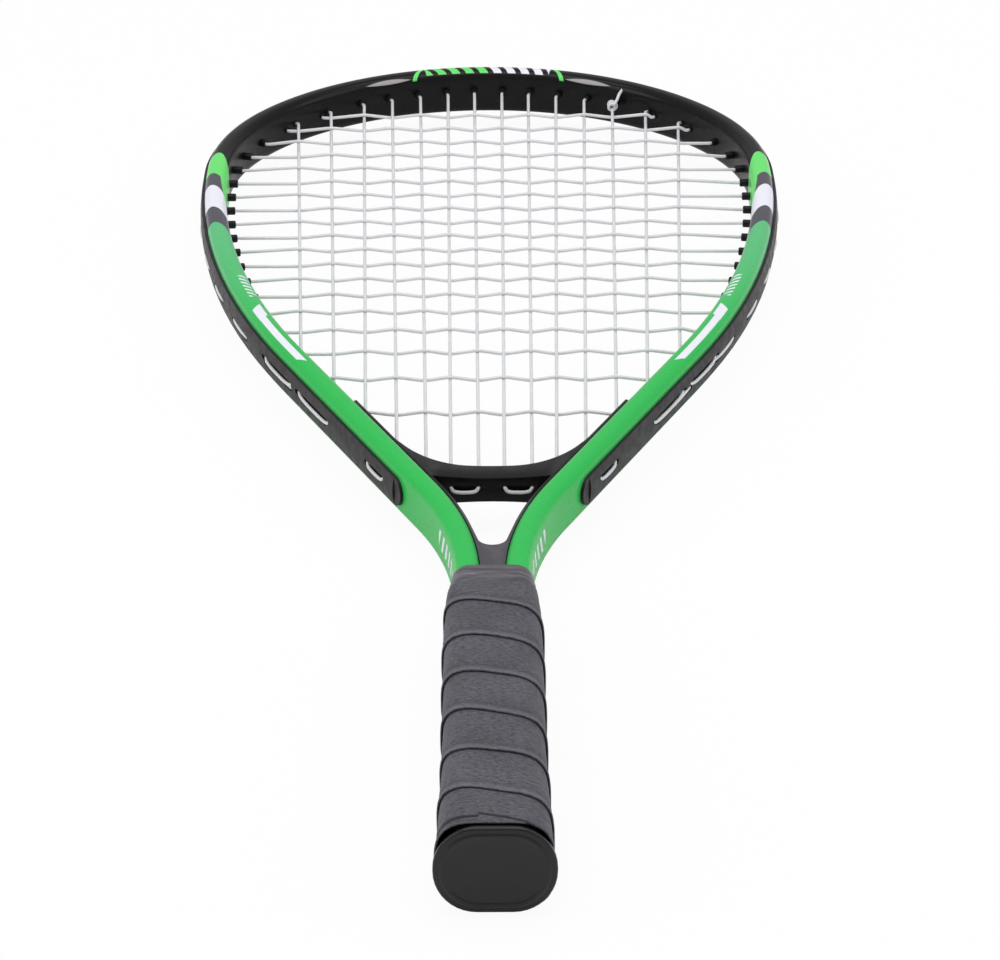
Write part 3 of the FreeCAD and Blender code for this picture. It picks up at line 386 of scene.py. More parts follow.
# Frame tube: one rounded section spun and drawn along its centre line
SPIN_STEP, DRAW_STEP = math.radians(1.6), 6 * MM
TUBE_CORNER_STEPS = 7
MIRROR_MERGE = 0.01 * MM


def spin_ring(piece):
    """Extends the selected ring of the tube by one arc or straight."""
    kind, first, second, start, end, side = piece
    if kind == "line":
        along = second - first
        cuts = max(1, round(along.length / DRAW_STEP))
        for _ in range(cuts):
            bpy.ops.mesh.extrude_edges_move(TRANSFORM_OT_translate={"value": along / cuts})
        return
    steps = max(2, round(abs(end - start) / SPIN_STEP))
    bpy.ops.mesh.spin(steps=steps, angle=end - start, center=first, axis=(0, 0, 1))


def tube_half():
    """Right half of the tube, from the tip to the end of its shaft."""
    bpy.ops.mesh.primitive_plane_add(size=1, location=(0, TIP_Y, 0),
                                     rotation=(0, math.pi / 2, 0))
    piece = bpy.context.object
    piece.scale = (TUBE_DEPTH, TUBE_WIDTH, 1)
    apply_place(piece)
    bpy.ops.object.mode_set(mode="EDIT")
    bpy.ops.mesh.select_all(action="SELECT")
    bpy.ops.mesh.bevel(offset=TUBE_CORNER, segments=TUBE_CORNER_STEPS, affect="VERTICES")
    bpy.ops.mesh.select_all(action="SELECT")
    bpy.ops.mesh.delete(type="ONLY_FACE")
    bpy.ops.mesh.select_all(action="SELECT")
    for part in FRAME:
        spin_ring(part)
    bpy.ops.mesh.edge_face_add()
    bpy.ops.object.mode_set(mode="OBJECT")
    return piece


clear_selection()
tube = tube_half()
tube.name = "frame_tube_painted"
apply_modifier(tube, "MIRROR", use_axis=(True, False, False), merge_threshold=MIRROR_MERGE)
outward(tube)
smooth(tube, 50)


def mark_along_frame(piece):
    """Stores for each point its distance from the tip along the tube, negative on the left,
    and how far it is outwards from the tube's centre line."""
    along = piece.data.attributes.new("along", "FLOAT", "POINT")
    across = piece.data.attributes.new("across", "FLOAT", "POINT")
    for index, vertex in enumerate(piece.data.vertices):
        distance, offset = foot_on_frame(vertex.co)
        along.data[index].value = distance if vertex.co.x >= 0 else -distance
        across.data[index].value = offset


mark_along_frame(tube)

# Paint of the frame: black over the tip, striped shoulders and green flanks down to the grip
BLACK_PAINT = rgb(10, 9, 11)
DARK_STRIPE = rgb(78, 76, 85)
WHITE_STRIPE = rgb(232, 232, 243)
# Pale grey of the lenses at the tip: painted highlights on the glossy inner corner
LENS_PAINTED_HIGHLIGHT = rgb(176, 170, 172)
LEAF_GREEN = rgb(104, 222, 110)
SHOULDER_GREEN = rgb(88, 186, 122)
FLANK_GREEN = rgb(44, 184, 82)
PAINT_EDGE = 0.12 * MM
# Places along the tube from the tip
LEAF_TOP, LEAF_END, TONGUE_END = 149 * MM, 169 * MM, 199 * MM
WHITE_START, WHITE_END, GREEN_START = 180.5 * MM, 201 * MM, 215.5 * MM
FADE_START, FADE_END = 215 * MM, 330 * MM
FLASH_START, FLASH_STEP, FLASH_END = 292.3 * MM, 302 * MM, 341 * MM
# Places outwards from the tube's centre line, and how strongly stripe edges and leaf bend back
STRIPE_MIDDLE, STRIPE_ARCH = 1.5 * MM, 330
LEAF_MIDDLE, LEAF_ARCH = 0.6 * MM, 500
TONGUE_WIDE, TONGUE_NARROW = -1.3 * MM, -4.15 * MM
FLASH_WIDE, FLASH_NARROW = (-1.4 * MM, 2.3 * MM), (-0.4 * MM, 2.2 * MM)
FLASH_START_SLANT, FLASH_END_SLANT = -1.0, 1.2
# Heights between which paint on the top face sets in, and the share of a pitch that a bar fills
TOP_FACE, BAR_SHARE, TIP_BAR_SHARE = (4.0 * MM, 4.5 * MM), (0.22, 0.62), (0.16, 0.74)
# Tip: bars on both sides of the middle, the wedges beyond them and, beyond those, the lenses
# of painted highlight
BARS_LEFT, BARS_RIGHT, BAR_PITCH, BAR_SLANT = -26 * MM, 25.5 * MM, 5.8 * MM, 0.5
BARS_INNER, BARS_OUTER = -3.0 * MM, 3.4 * MM
WEDGE_START, WEDGE_END, WEDGE_INNER, WEDGE_SLANT = 27.5 * MM, 29.4 * MM, -3.9 * MM, 0.75
LENS_MIDDLE, LENS_HALF, LENS_Z, LENS_SWELL = 43 * MM, 11 * MM, 7.4 * MM, 0.9 * MM


def frame_paint():
    """Lacquer of the tube, laid out by the distances stored on its points."""
    material, tree, shader = new_material("frame_lacquer")
    place = object_place(tree)
    height = node(tree, "ShaderNodeSeparateXYZ")
    tree.links.new(place, height.inputs[0])
    signed = node(tree, "ShaderNodeAttribute", attribute_name="along").outputs["Fac"]
    along = sums(tree, "ABSOLUTE", signed)
    across = node(tree, "ShaderNodeAttribute", attribute_name="across").outputs["Fac"]
    z = height.outputs["Z"]
    edge = PAINT_EDGE
    # Green fades from a bluish shade at the shoulder to a stronger one on the flank
    fade = ramp(tree, along, FADE_START, FADE_END, 0, 1)
    green = blend(tree, fade, SHOULDER_GREEN, FLANK_GREEN)
    # Stripe edges arch: they run further down the tube the further they are from its middle
    lean = sums(tree, "SUBTRACT", across, STRIPE_MIDDLE)
    arch = sums(tree, "MULTIPLY", sums(tree, "MULTIPLY", lean, lean), STRIPE_ARCH)
    stripe = sums(tree, "SUBTRACT", along, arch)
    # The leaf is rounded at its top and runs on as a thin tongue along the inner corner
    middle = sums(tree, "SUBTRACT", across, LEAF_MIDDLE)
    round_top = sums(tree, "MULTIPLY", sums(tree, "MULTIPLY", middle, middle), LEAF_ARCH)
    leaf_top = sums(tree, "SUBTRACT", sums(tree, "SUBTRACT", along, round_top), LEAF_TOP)
    leaf = sums(tree, "MULTIPLY", ramp(tree, leaf_top, -edge, edge, 0, 1),
                ramp(tree, stripe, LEAF_END - edge, LEAF_END + edge, 1, 0))
    tongue_width = ramp(tree, along, LEAF_END - 1 * MM, TONGUE_END, TONGUE_WIDE, TONGUE_NARROW,
                        smoothly=False)
    tongue = sums(tree, "MULTIPLY", ramp(tree, sums(tree, "SUBTRACT", across, tongue_width),
                                         -edge, edge, 1, 0),
                  span(tree, along, LEAF_END - 9 * MM, TONGUE_END, edge))
    tongue = sums(tree, "MULTIPLY", tongue, ramp(tree, z, 3.5 * MM, 4.5 * MM, 0, 1))
    leaf = sums(tree, "MAXIMUM", leaf, tongue)
    white = span(tree, stripe, WHITE_START, WHITE_END, edge)
    painted = ramp(tree, leaf_top, -edge, edge, 0, 1)
    below = ramp(tree, stripe, GREEN_START - edge, GREEN_START + edge, 0, 1)
    colour = blend(tree, painted, BLACK_PAINT, DARK_STRIPE)
    colour = blend(tree, white, colour, WHITE_STRIPE)
    colour = blend(tree, leaf, colour, LEAF_GREEN)
    colour = blend(tree, below, colour, green)
    colour = decals(tree, colour, signed, along, across, z, edge)
    tree.links.new(colour, shader.inputs["Base Color"])
    tree.links.new(ramp(tree, noise(tree, place, 70, 3), 0.3, 0.7, 0.24, 0.34),
                   shader.inputs["Roughness"])
    shader.inputs["Specular IOR Level"].default_value = 0.16
    shader.inputs["Coat Weight"].default_value = 0.10
    shader.inputs["Coat Roughness"].default_value = 0.06
    bump(tree, shader, noise(tree, place, 150, 2), 0.01 * MM, 0.3)
    return material


def decals(tree, colour, signed, along, across, z, edge):
    """Plain generic marks: a white flash on each flank, short bars and wedges. Also pale lenses,
    which are painted highlights.
    """
    top = ramp(tree, z, *TOP_FACE, 0, 1)
    colour = flank_flash(tree, colour, along, across, top, edge)
    # Rows of short slanted bars: a small one on the top face's inner side, and a larger one on
    # the outer wall above the grip. Start, end, the lane's place, its limits, pitch, slant, side
    outer = ramp(tree, across, 1.5 * MM, 1.8 * MM, 0, 1)
    rows = ((265 * MM, 284 * MM, across, -2.6 * MM, 0.2 * MM, 3.1 * MM, 0.8, top),
            (465 * MM, 492 * MM, z, -2.6 * MM, 4.4 * MM, 5.2 * MM, -0.5, outer))
    for start, end, lane_place, low, high, pitch, slant, side in rows:
        row = span(tree, along, start, end, edge)
        lane = span(tree, lane_place, low, high, edge)
        phase = sums(tree, "MULTIPLY_ADD", lane_place, slant, along)
        wave = sums(tree, "FRACT", sums(tree, "DIVIDE", phase, pitch))
        bars = span(tree, wave, *BAR_SHARE, 0.04)
        mask = sums(tree, "MULTIPLY", sums(tree, "MULTIPLY", row, lane), bars)
        colour = blend(tree, sums(tree, "MULTIPLY", mask, side), colour, WHITE_STRIPE)
    return tip_marks(tree, colour, signed, along, across, z, top, edge)


def flank_flash(tree, colour, along, across, top, edge):
    """White flash on the middle of the top face, wider at its upper end, both ends slanted."""
    slant = sums(tree, "MULTIPLY_ADD", across, FLASH_START_SLANT, along)
    wide = span(tree, across, *FLASH_WIDE, edge)
    narrow = span(tree, across, *FLASH_NARROW, edge)
    split = ramp(tree, slant, FLASH_STEP - edge, FLASH_STEP + edge, 0, 1)
    shape = sums(tree, "ADD", sums(tree, "MULTIPLY", wide, sums(tree, "SUBTRACT", 1.0, split)),
                 sums(tree, "MULTIPLY", narrow, split))
    ends = sums(tree, "MULTIPLY",
                ramp(tree, slant, FLASH_START - edge, FLASH_START + edge, 0, 1),
                ramp(tree, sums(tree, "MULTIPLY_ADD", across, FLASH_END_SLANT, along),
                     FLASH_END - edge, FLASH_END + edge, 1, 0))
    flash = sums(tree, "MULTIPLY", shape, ends)
    return blend(tree, sums(tree, "MULTIPLY", flash, top), colour, WHITE_STRIPE)


def tip_marks(tree, colour, signed, along, across, z, top, edge):
    """Bars over the top face, half green and half white, between two slanted green wedges, with
    a pale lens of painted highlight beyond each wedge on the inner corner."""
    lane = span(tree, across, BARS_INNER, BARS_OUTER, edge)
    phase = sums(tree, "MULTIPLY_ADD", across, BAR_SLANT, signed)
    wave = sums(tree, "FRACT", sums(tree, "DIVIDE", phase, BAR_PITCH))
    bars = span(tree, wave, *TIP_BAR_SHARE, 0.03)
    row = sums(tree, "MULTIPLY", span(tree, signed, BARS_LEFT, BARS_RIGHT, edge), bars)
    tone = blend(tree, ramp(tree, signed, -1 * MM, 1 * MM, 0, 1), LEAF_GREEN, WHITE_STRIPE)
    mask = sums(tree, "MULTIPLY", sums(tree, "MULTIPLY", row, lane), top)
    colour = blend(tree, mask, colour, tone)
    flare = sums(tree, "MULTIPLY_ADD", across, WEDGE_SLANT, along)
    wedge = sums(tree, "MULTIPLY", span(tree, flare, WEDGE_START, WEDGE_END, edge),
                 span(tree, across, WEDGE_INNER, BARS_OUTER, edge))
    colour = blend(tree, sums(tree, "MULTIPLY", wedge, top), colour, LEAF_GREEN)
    # Pale lenses on the inner corner of the black tip: painted highlights
    reach = sums(tree, "DIVIDE", sums(tree, "SUBTRACT", along, LENS_MIDDLE), LENS_HALF)
    plump = sums(tree, "MULTIPLY_ADD", sums(tree, "MULTIPLY", reach, reach), -LENS_SWELL,
                 LENS_SWELL)
    from_middle = sums(tree, "ABSOLUTE", sums(tree, "SUBTRACT", z, LENS_Z))
    lens = ramp(tree, sums(tree, "SUBTRACT", plump, from_middle), 0, 0.25 * MM, 0, 0.9)
    inner = ramp(tree, across, -2.0 * MM, -1.7 * MM, 1, 0)
    return blend(tree, sums(tree, "MULTIPLY", lens, inner), colour, LENS_PAINTED_HIGHLIGHT)


finish_piece(tube, ["frame_tube"], frame_paint())


# Strings: each is one length that weaves over and under and turns outside the frame
def bed_end(start, direction):
    """Bend just past the barrel's mouth and the outlet on the frame's outside. Barrels are
    shorter where the head curves most."""
    reach = BARREL_REACH
    for _ in range(SOLVE_ROUNDS):
        mouth = TUBE_WIDTH / 2 + reach
        bend, normal = first_hit(start, direction, -(mouth + STRING_LEAD))
        corner = max(0.0, math.sin(2 * math.atan2(normal.x, normal.y))) ** 3
        reach = BARREL_REACH * (1 - BARREL_CORNER_LOSS * corner)
    return bend, bend + normal * (mouth + STRING_LEAD + RUN_OFFSET)


def flank_line(offset, y):
    """Point at a height on a line along the right flank, set off from its centre line."""
    base = FLANK[1] + normal_at(FLANK[3]) * offset
    along = heading_at(FLANK[3])
    return base + along * ((y - base.y) / along.y)


def throat_edge_y(x):
    """Height of the throat's upper edge at a distance from the middle."""
    along = heading_at(FLANK[3])
    corner = flank_line(WING_OFFSET, BRIDGE_TOP_Y)
    cut = WING_RADIUS * math.tan((math.pi - FLANK[3]) / 2)
    start, end = corner - Vector((cut, 0, 0)), corner - along * cut
    if x <= start.x:
        return BRIDGE_TOP_Y
    if x <= end.x:
        return start.y + WING_RADIUS - math.sqrt(WING_RADIUS ** 2 - (x - start.x) ** 2)
    return end.y + (x - end.x) * along.y / along.x


def long_string_ends(index):
    top_x, low_x = (value * MM for value in LONG_STRINGS[index])
    top, low = Vector((top_x, LONG_TOP_Y, 0)), Vector((low_x, LONG_LOW_Y, 0))
    middle, up = (top + low) / 2, (top - low).normalized()
    tip = bed_end(middle, up)
    if index >= THROAT_STRINGS:
        return tip, bed_end(middle, -up)
    edge = low
    for _ in range(SOLVE_ROUNDS):
        edge_y = throat_edge_y(edge.x)
        edge = Vector((low_x + up.x / up.y * (edge_y - low.y), edge_y, 0))
    if index < BRIDGE_STRINGS:
        return tip, (Vector((edge.x, BRIDGE_TOP_Y, 0)), Vector((edge.x, BRIDGE_RUN_Y, 0)))
    bend = edge + Vector((0, STRING_LEAD, 0))
    normal = normal_at(FLANK[3])
    return tip, (bend, bend + normal * ((FLANK[1] - bend).dot(normal) + RUN_OFFSET))


def cross_heights():
    """Heights of the cross strings: wider gaps at the throat, slightly wider ones at the tip."""
    heights = [FIRST_CROSS_Y]
    for index in range(CROSS_COUNT - 1):
        gap = CROSS_PITCH + CROSS_LOW_GAP * CROSS_LOW_RATIO ** index
        heights.append(heights[-1] + gap + CROSS_TOP_GAP * (index / (CROSS_COUNT - 2)) ** 2)
    return heights


LONG_ENDS = [long_string_ends(index) for index in range(len(LONG_STRINGS))]
CROSS_Y = cross_heights()
CROSS_ENDS = [bed_end(Vector((0, y, 0)), Vector((1, 0, 0))) for y in CROSS_Y]


def column_ends(column):
    """Upper and lower end of one long string, numbered from the left. Each end is its bend at
    the bed and its outlet outside."""
    half = len(LONG_STRINGS)
    if column >= half:
        return LONG_ENDS[column - half]
    return tuple(tuple(mirrored(point) for point in end) for end in LONG_ENDS[half - 1 - column])


def outer_run(start, end):
    """Points of a run on the outside between two outlets, proud of it and hanging slightly."""
    points = []
    under_bridge = (start.y + end.y) / 2 < BRIDGE_RUN_Y + SAME_HEIGHT
    widest, highest = (limit - RUN_MARGIN for limit in cad_box[1][:2])
    for share, swell in RUN_STOPS:
        point = start.lerp(end, share)
        if under_bridge:
            points.append(point + Vector((0, -BRIDGE_PROUD * swell, -BRIDGE_SAG * swell)))
            continue
        _, offset = foot_on_frame(point)
        point += outward_of(point) * (RUN_OFFSET + RUN_PROUD * swell - offset)
        points.append(Vector((max(-widest, min(point.x, widest)), min(point.y, highest),
                              -RUN_SAG * swell)))
    return points


def woven_points(start, end, crossings, rest):
    """Points of one run across the bed, pressed up or down wherever it crosses."""
    along = (end - start).normalized()
    points = []
    for place, side in crossings:
        for step in (-HALF_CROSSING, HALF_CROSSING):
            point = place + along * step
            points.append(Vector((point.x, point.y, side * BED_HEIGHT)))
    return [Vector((start.x, start.y, rest))] + points + [Vector((end.x, end.y, rest))]


def crossing(column, row):
    """Where a long string passes a cross string, and +1 where the long one is on top."""
    (tip, _), (throat, _) = column_ends(column)
    y = CROSS_Y[row]
    share = (y - throat.y) / (tip.y - throat.y)
    return throat + (tip - throat) * share, (1 if (column + row) % 2 else -1)


def meets(column, row):
    """Whether a long string and a cross string pass each other inside the head."""
    (tip, _), (throat, _) = column_ends(column)
    bend = CROSS_ENDS[row][0]
    place, _ = crossing(column, row)
    return throat.y < CROSS_Y[row] < tip.y and abs(place.x) < bend.x


def long_route():
    """Points of the long strings' one length, and the numbers of its tight corners."""
    count = 2 * len(LONG_STRINGS)
    stops = [mirrored(CROSS_ENDS[1][1])]
    corners = {0}
    for column in range(count):
        tip, throat = column_ends(column)
        enter, leave = (throat, tip) if column % 2 == 0 else (tip, throat)
        stops += outer_run(stops[-1], enter[1])
        corners.add(len(stops))
        stops.append(enter[1])
        rows = [row for row in range(CROSS_COUNT) if meets(column, row)]
        if column % 2:
            rows.reverse()
        crossings = [crossing(column, row) for row in rows]
        corners.add(len(stops))
        stops += woven_points(enter[0], leave[0], crossings, BED_HEIGHT)
        corners |= {len(stops) - 1, len(stops)}
        stops.append(leave[1])
    last = CROSS_ENDS[1][1]
    return stops + outer_run(stops[-1], last) + [last], corners


def cross_route():
    """Points of the cross strings' one length, and the numbers of its tight corners."""
    count = 2 * len(LONG_STRINGS)
    stops, corners = [], set()
    for row in range(CROSS_COUNT):
        right, left = CROSS_ENDS[row], tuple(mirrored(point) for point in CROSS_ENDS[row])
        enter, leave = (left, right) if row % 2 == 0 else (right, left)
        if stops:
            stops += outer_run(stops[-1], enter[1])
        corners.add(len(stops))
        stops.append(enter[1])
        columns = [column for column in range(count) if meets(column, row)]
        if row % 2:
            columns.reverse()
        crossings = [(place, -side) for place, side in (crossing(c, row) for c in columns)]
        corners.add(len(stops))
        stops += woven_points(enter[0], leave[0], crossings, -BED_HEIGHT)
        corners |= {len(stops) - 1, len(stops)}
        stops.append(leave[1])
    last = LONG_ENDS[KNOT_COLUMN][0][1]
    return stops + outer_run(stops[-1], last) + [last], corners


def with_corner_leads(stops, corners, rest):
    """Adds a point close before and after each tight corner, so that runs stay straight."""
    points = []
    for index, stop in enumerate(stops):
        height = stop.z if abs(stop.z) > TINY else rest
        here = Vector((stop.x, stop.y, height))
        if index in corners and 0 < index < len(stops) - 1:
            for other, order in ((stops[index - 1], 0), (stops[index + 1], 1)):
                towards = Vector((other.x, other.y, height)) - here
                lead = min(CORNER_LEAD, towards.length * CORNER_SHARE)
                side = here + towards.normalized() * lead
                points += [side, here] if order == 0 else [side]
        else:
            points.append(here)
    return points


def string_mesh(name, points, resolution=3):
    """Round string along a smooth line through its points, made a mesh."""
    curve = bpy.data.curves.new(name, "CURVE")
    curve.dimensions = "3D"
    spline = curve.splines.new("NURBS")
    spline.points.add(len(points) - 1)
    for target, point in zip(spline.points, points):
        target.co = (*point, 1)
    spline.order_u = 3
    spline.use_endpoint_u = True
    curve.resolution_u = resolution
    curve.bevel_depth = STRING_DIAMETER / 2
    curve.bevel_resolution = STRING_ROUNDNESS
    curve.use_fill_caps = True
    piece = bpy.data.objects.new(name, curve)
    bpy.context.scene.collection.objects.link(piece)
    pick(piece)
    bpy.ops.object.convert(target="MESH")
    piece = bpy.context.object
    outward(piece)
    smooth(piece, 60)
    return piece


def string_material():
    material, tree, shader = new_material("string_nylon")
    place = object_place(tree)
    colour = blend(tree, noise(tree, place, 130, 3), rgb(206, 206, 210), rgb(226, 226, 229))
    tree.links.new(colour, shader.inputs["Base Color"])
    tree.links.new(ramp(tree, noise(tree, place, 500, 2), 0.3, 0.7, 0.28, 0.42),
                   shader.inputs["Roughness"])
    shader.inputs["Coat Weight"].default_value = 0.3
    shader.inputs["Subsurface Weight"].default_value = 0.08
    shader.inputs["Subsurface Scale"].default_value = 0.4 * MM
    bump(tree, shader, noise(tree, place, 3200, 2), 0.02 * MM, 0.4)
    return material


NYLON = string_material()
stops, corners = long_route()
long_string = string_mesh("main_string_woven", with_corner_leads(stops, corners, BED_HEIGHT))
finish_piece(long_string, ["main_string"], NYLON)
stops, corners = cross_route()
cross_string = string_mesh("cross_string_woven", with_corner_leads(stops, corners, -BED_HEIGHT))
finish_piece(cross_string, ["cross_string"], NYLON)


# Knot: turns round a long string below its barrel, then a free end. The end's points lie aside,
# back and up from the last turn, in millimetres
KNOT_RADIUS, KNOT_PITCH, KNOT_TURNS, KNOT_STEPS = 1.55 * MM, 1.3 * MM, 3.6, 12
KNOT_DROP, KNOT_RISE = 0.3 * MM, 1.3 * MM
LOBE_MEAN, LOBE_SWELL = 0.86, 0.24
KNOT_TAIL = ((-0.4, -0.8, 0.8), (-1.2, -2.6, 1.4), (-1.6, -4.4, 2.2), (-2.4, -5.6, 3.2),
             (-3.4, -6.4, 4.3))


def knot_points():
    """From the barrel in turns round a long string, in two lobes, then a short free end."""
    (tip, _), (throat, _) = LONG_ENDS[KNOT_COLUMN]
    down = (throat - tip).normalized()
    side = Vector((down.y, -down.x, 0))
    begin = tip + down * KNOT_DROP + Vector((0, 0, KNOT_RISE))
    points = [tip - down * 2 * MM + Vector((0, 0, -0.6 * MM)), tip + Vector((0, 0, -0.8 * MM))]
    count = round(KNOT_TURNS * KNOT_STEPS)
    for index in range(count + 1):
        angle = -math.pi / 2 + 2 * math.pi * index / KNOT_STEPS
        centre = begin + down * (KNOT_PITCH * index / KNOT_STEPS)
        # The turns draw in half way along, which parts the two lobes
        swell = KNOT_RADIUS * (LOBE_MEAN + LOBE_SWELL * math.cos(4 * math.pi * index / count))
        points.append(centre + side * swell * math.cos(angle)
                      + Vector((0, 0, swell * math.sin(angle))))
    last = points[-1]
    for aside, back, rise in KNOT_TAIL:
        points.append(last + side * aside * MM + down * back * MM + Vector((0, 0, rise * MM)))
    return points


knot = string_mesh("tie_off_knot_wound", knot_points(), resolution=4)
finish_piece(knot, ["tie_off_knot"], NYLON)


# Grommet strip and throat piece: the CAD shapes with joined faces and softened edges
BARREL_ROUNDING, THROAT_ROUNDING = 0.42 * MM, 0.35 * MM
FLAT_ANGLE_STRIP, FLAT_ANGLE_THROAT = math.radians(0.5), math.radians(0.6)
MOUTH_DISTANCE, FACING_INWARDS = TUBE_WIDTH / 2 + 0.3 * MM, 0.85
THROAT_EDGE_ANGLE = math.radians(32)
WEB_END_Y, BAR_START_Y = 196 * MM, 216 * MM


def strip_material():
    """Black barrels and a dark grey band."""
    material, tree, shader = new_material("strip_plastic")
    place = object_place(tree)
    across = node(tree, "ShaderNodeAttribute", attribute_name="across").outputs["Fac"]
    band = ramp(tree, across, 3.9 * MM, 4.2 * MM, 0, 1)
    colour = blend(tree, band, rgb(8, 8, 9), rgb(40, 36, 40))
    tree.links.new(blend(tree, ramp(tree, noise(tree, place, 60, 4), 0.35, 0.75, 0, 0.35), colour,
                         rgb(20, 18, 21)), shader.inputs["Base Color"])
    tree.links.new(ramp(tree, noise(tree, place, 300, 2), 0.3, 0.7, 0.38, 0.5),
                   shader.inputs["Roughness"])
    shader.inputs["Specular IOR Level"].default_value = 0.22
    bump(tree, shader, noise(tree, place, 2400, 2), 0.02 * MM, 0.4)
    return material


def round_barrels(piece):
    """Softens the rims of every barrel's mouth."""
    pick(piece)
    bpy.ops.object.mode_set(mode="EDIT")
    bpy.ops.mesh.select_all(action="SELECT")
    bpy.ops.mesh.dissolve_limited(angle_limit=FLAT_ANGLE_STRIP)
    bpy.ops.mesh.select_all(action="DESELECT")
    bpy.ops.mesh.select_mode(type="FACE")
    shape = bmesh.from_edit_mesh(piece.data)
    for face in shape.faces:
        offsets = [foot_on_frame(vertex.co)[1] for vertex in face.verts]
        if max(offsets) < -MOUTH_DISTANCE:
            inwards = -face.normal.dot(outward_of(face.calc_center_median()))
            face.select_set(inwards > FACING_INWARDS)
    bmesh.update_edit_mesh(piece.data)
    bpy.ops.mesh.region_to_loop()
    bpy.ops.mesh.bevel(offset=BARREL_ROUNDING, segments=3, profile=0.5, clamp_overlap=False)
    bpy.ops.object.mode_set(mode="OBJECT")


strip = own_copy("grommet_strip", "grommet_strip_moulded")
round_barrels(strip)
mark_along_frame(strip)
smooth(strip, 35)
finish_piece(strip, ["grommet_strip"], strip_material())


def throat_material():
    """Grey web between the shafts and a black bridge bar."""
    material, tree, shader = new_material("throat_plastic")
    place = object_place(tree)
    split = node(tree, "ShaderNodeSeparateXYZ")
    tree.links.new(place, split.inputs[0])
    bar = ramp(tree, split.outputs["Y"], WEB_END_Y, BAR_START_Y, 0, 1)
    colour = blend(tree, bar, rgb(78, 74, 83), rgb(9, 8, 9))
    patches = ramp(tree, noise(tree, place, 45, 4), 0.3, 0.75, 0, 0.08)
    tree.links.new(blend(tree, patches, colour, rgb(46, 44, 48)), shader.inputs["Base Color"])
    tree.links.new(ramp(tree, noise(tree, place, 260, 2), 0.3, 0.7, 0.3, 0.42),
                   shader.inputs["Roughness"])
    shader.inputs["Specular IOR Level"].default_value = 0.2
    bump(tree, shader, noise(tree, place, 2200, 2), 0.02 * MM, 0.5)
    return material


throat = own_copy("throat_bridge", "throat_bridge_moulded")
bpy.ops.object.mode_set(mode="EDIT")
bpy.ops.mesh.select_all(action="SELECT")
bpy.ops.mesh.dissolve_limited(angle_limit=FLAT_ANGLE_THROAT)
bpy.ops.object.mode_set(mode="OBJECT")
apply_modifier(throat, "BEVEL", width=THROAT_ROUNDING, segments=2, limit_method="ANGLE",
               angle_limit=THROAT_EDGE_ANGLE, use_clamp_overlap=True)
smooth(throat, 40)
finish_piece(throat, ["throat_bridge"], throat_material())


# Butt cap: rings of a rounded outline, each drawn out from the last
CAP_WIDTH, CAP_DEPTH, CAP_CUP_CORNER = 35.0, 27.9, 9.4
# Inset and height of each ring in millimetres: the skirt's cup, its end, its outside, the flange's
# back and edge, and the face with its soft raised rim
CAP_RINGS = ((4.2, 3.1), (4.0, 3.2), (3.95, 19.7), (3.85, 20.0), (3.15, 20.0), (3.0, 19.8),
             (2.5, 2.5), (2.3, 2.2), (0.3, 2.2), (0.06, 2.1), (0.0, 1.9), (0.0, 1.1),
             (0.1, 0.75), (0.35, 0.5), (0.75, 0.4), (1.5, 0.38), (1.85, 0.3), (2.1, 0.06),
             (2.4, 0.0), (2.8, 0.0), (3.1, 0.06), (3.4, 0.34), (3.7, 0.42), (9.0, 0.35))


def first_ring(width, depth, corner, y, segments=10):
    """Empty rounded outline, left selected in edit mode."""
    bpy.ops.mesh.primitive_plane_add(size=1, location=(0, y, 0), rotation=(math.pi / 2, 0, 0))
    piece = bpy.context.object
    piece.scale = (width, depth, 1)
    apply_place(piece)
    bpy.ops.object.mode_set(mode="EDIT")
    bpy.ops.mesh.select_all(action="SELECT")
    bpy.ops.mesh.bevel(offset=corner, segments=segments, affect="VERTICES")
    bpy.ops.mesh.select_all(action="SELECT")
    bpy.ops.mesh.delete(type="ONLY_FACE")
    bpy.ops.mesh.select_all(action="SELECT")
    return piece


def next_rings(current, rings):
    """Extrudes the selected ring through a list of widths, depths and heights."""
    for ring in rings:
        width, depth, y = current
        bpy.ops.mesh.extrude_edges_move(
            TRANSFORM_OT_translate={"value": (0, ring[2] - y, 0)})
        bpy.ops.transform.resize(value=(ring[0] / width, 1, ring[1] / depth),
                                 center_override=(0, ring[2], 0))
        current = ring


def make_cap():
    rings = [((CAP_WIDTH - 2 * inset) * MM, (CAP_DEPTH - 2 * inset) * MM, y * MM)
             for inset, y in CAP_RINGS]
    start = rings[0]
    piece = first_ring(start[0], start[1], CAP_CUP_CORNER * MM, start[2])
    bpy.ops.mesh.edge_face_add()
    bpy.ops.mesh.select_all(action="SELECT")
    bpy.ops.mesh.region_to_loop()
    next_rings(start, rings[1:])
    bpy.ops.mesh.edge_face_add()
    bpy.ops.object.mode_set(mode="OBJECT")
    piece.name = "butt_cap_moulded"
    outward(piece)
    smooth(piece, 50)
    return piece


cap = make_cap()
finish_piece(cap, ["butt_cap"],
             plastic("cap_plastic", rgb(13, 14, 12), 0.30, 0.02 * MM, 2600, 0.3))


# Grip tape: one wound strip whose lower edge rides over the turn below
TAPE_WIDTH, TAPE_PITCH, TAPE_THICK = 24.0 * MM, 22.0 * MM, 0.5 * MM
TAPE_PHASE_Y, TAPE_START_Y, TAPE_END_Y = 20.4 * MM, 2.9 * MM, 147.0 * MM
TAPE_LOW_HEIGHT, TAPE_HIGH_HEIGHT = 1.95 * MM, 1.38 * MM
TAPE_FIRST_TURN, TAPE_LAST_TURN = -3 * math.pi, 11.5 * math.pi
CORE_HALF, NECK_HALF = (13.6 * MM, 11.5 * MM), (12.45 * MM, 9.35 * MM)
SKIRT_MARGIN, SKIRT_FLARE = 0.9 * MM, 0.5 * MM
SKIRT_END_Y, FLANGE_Y, TAPER_Y, NECK_Y = 20 * MM, 2.2 * MM, 128 * MM, 150 * MM
STEP_RAMP = 30 * MM
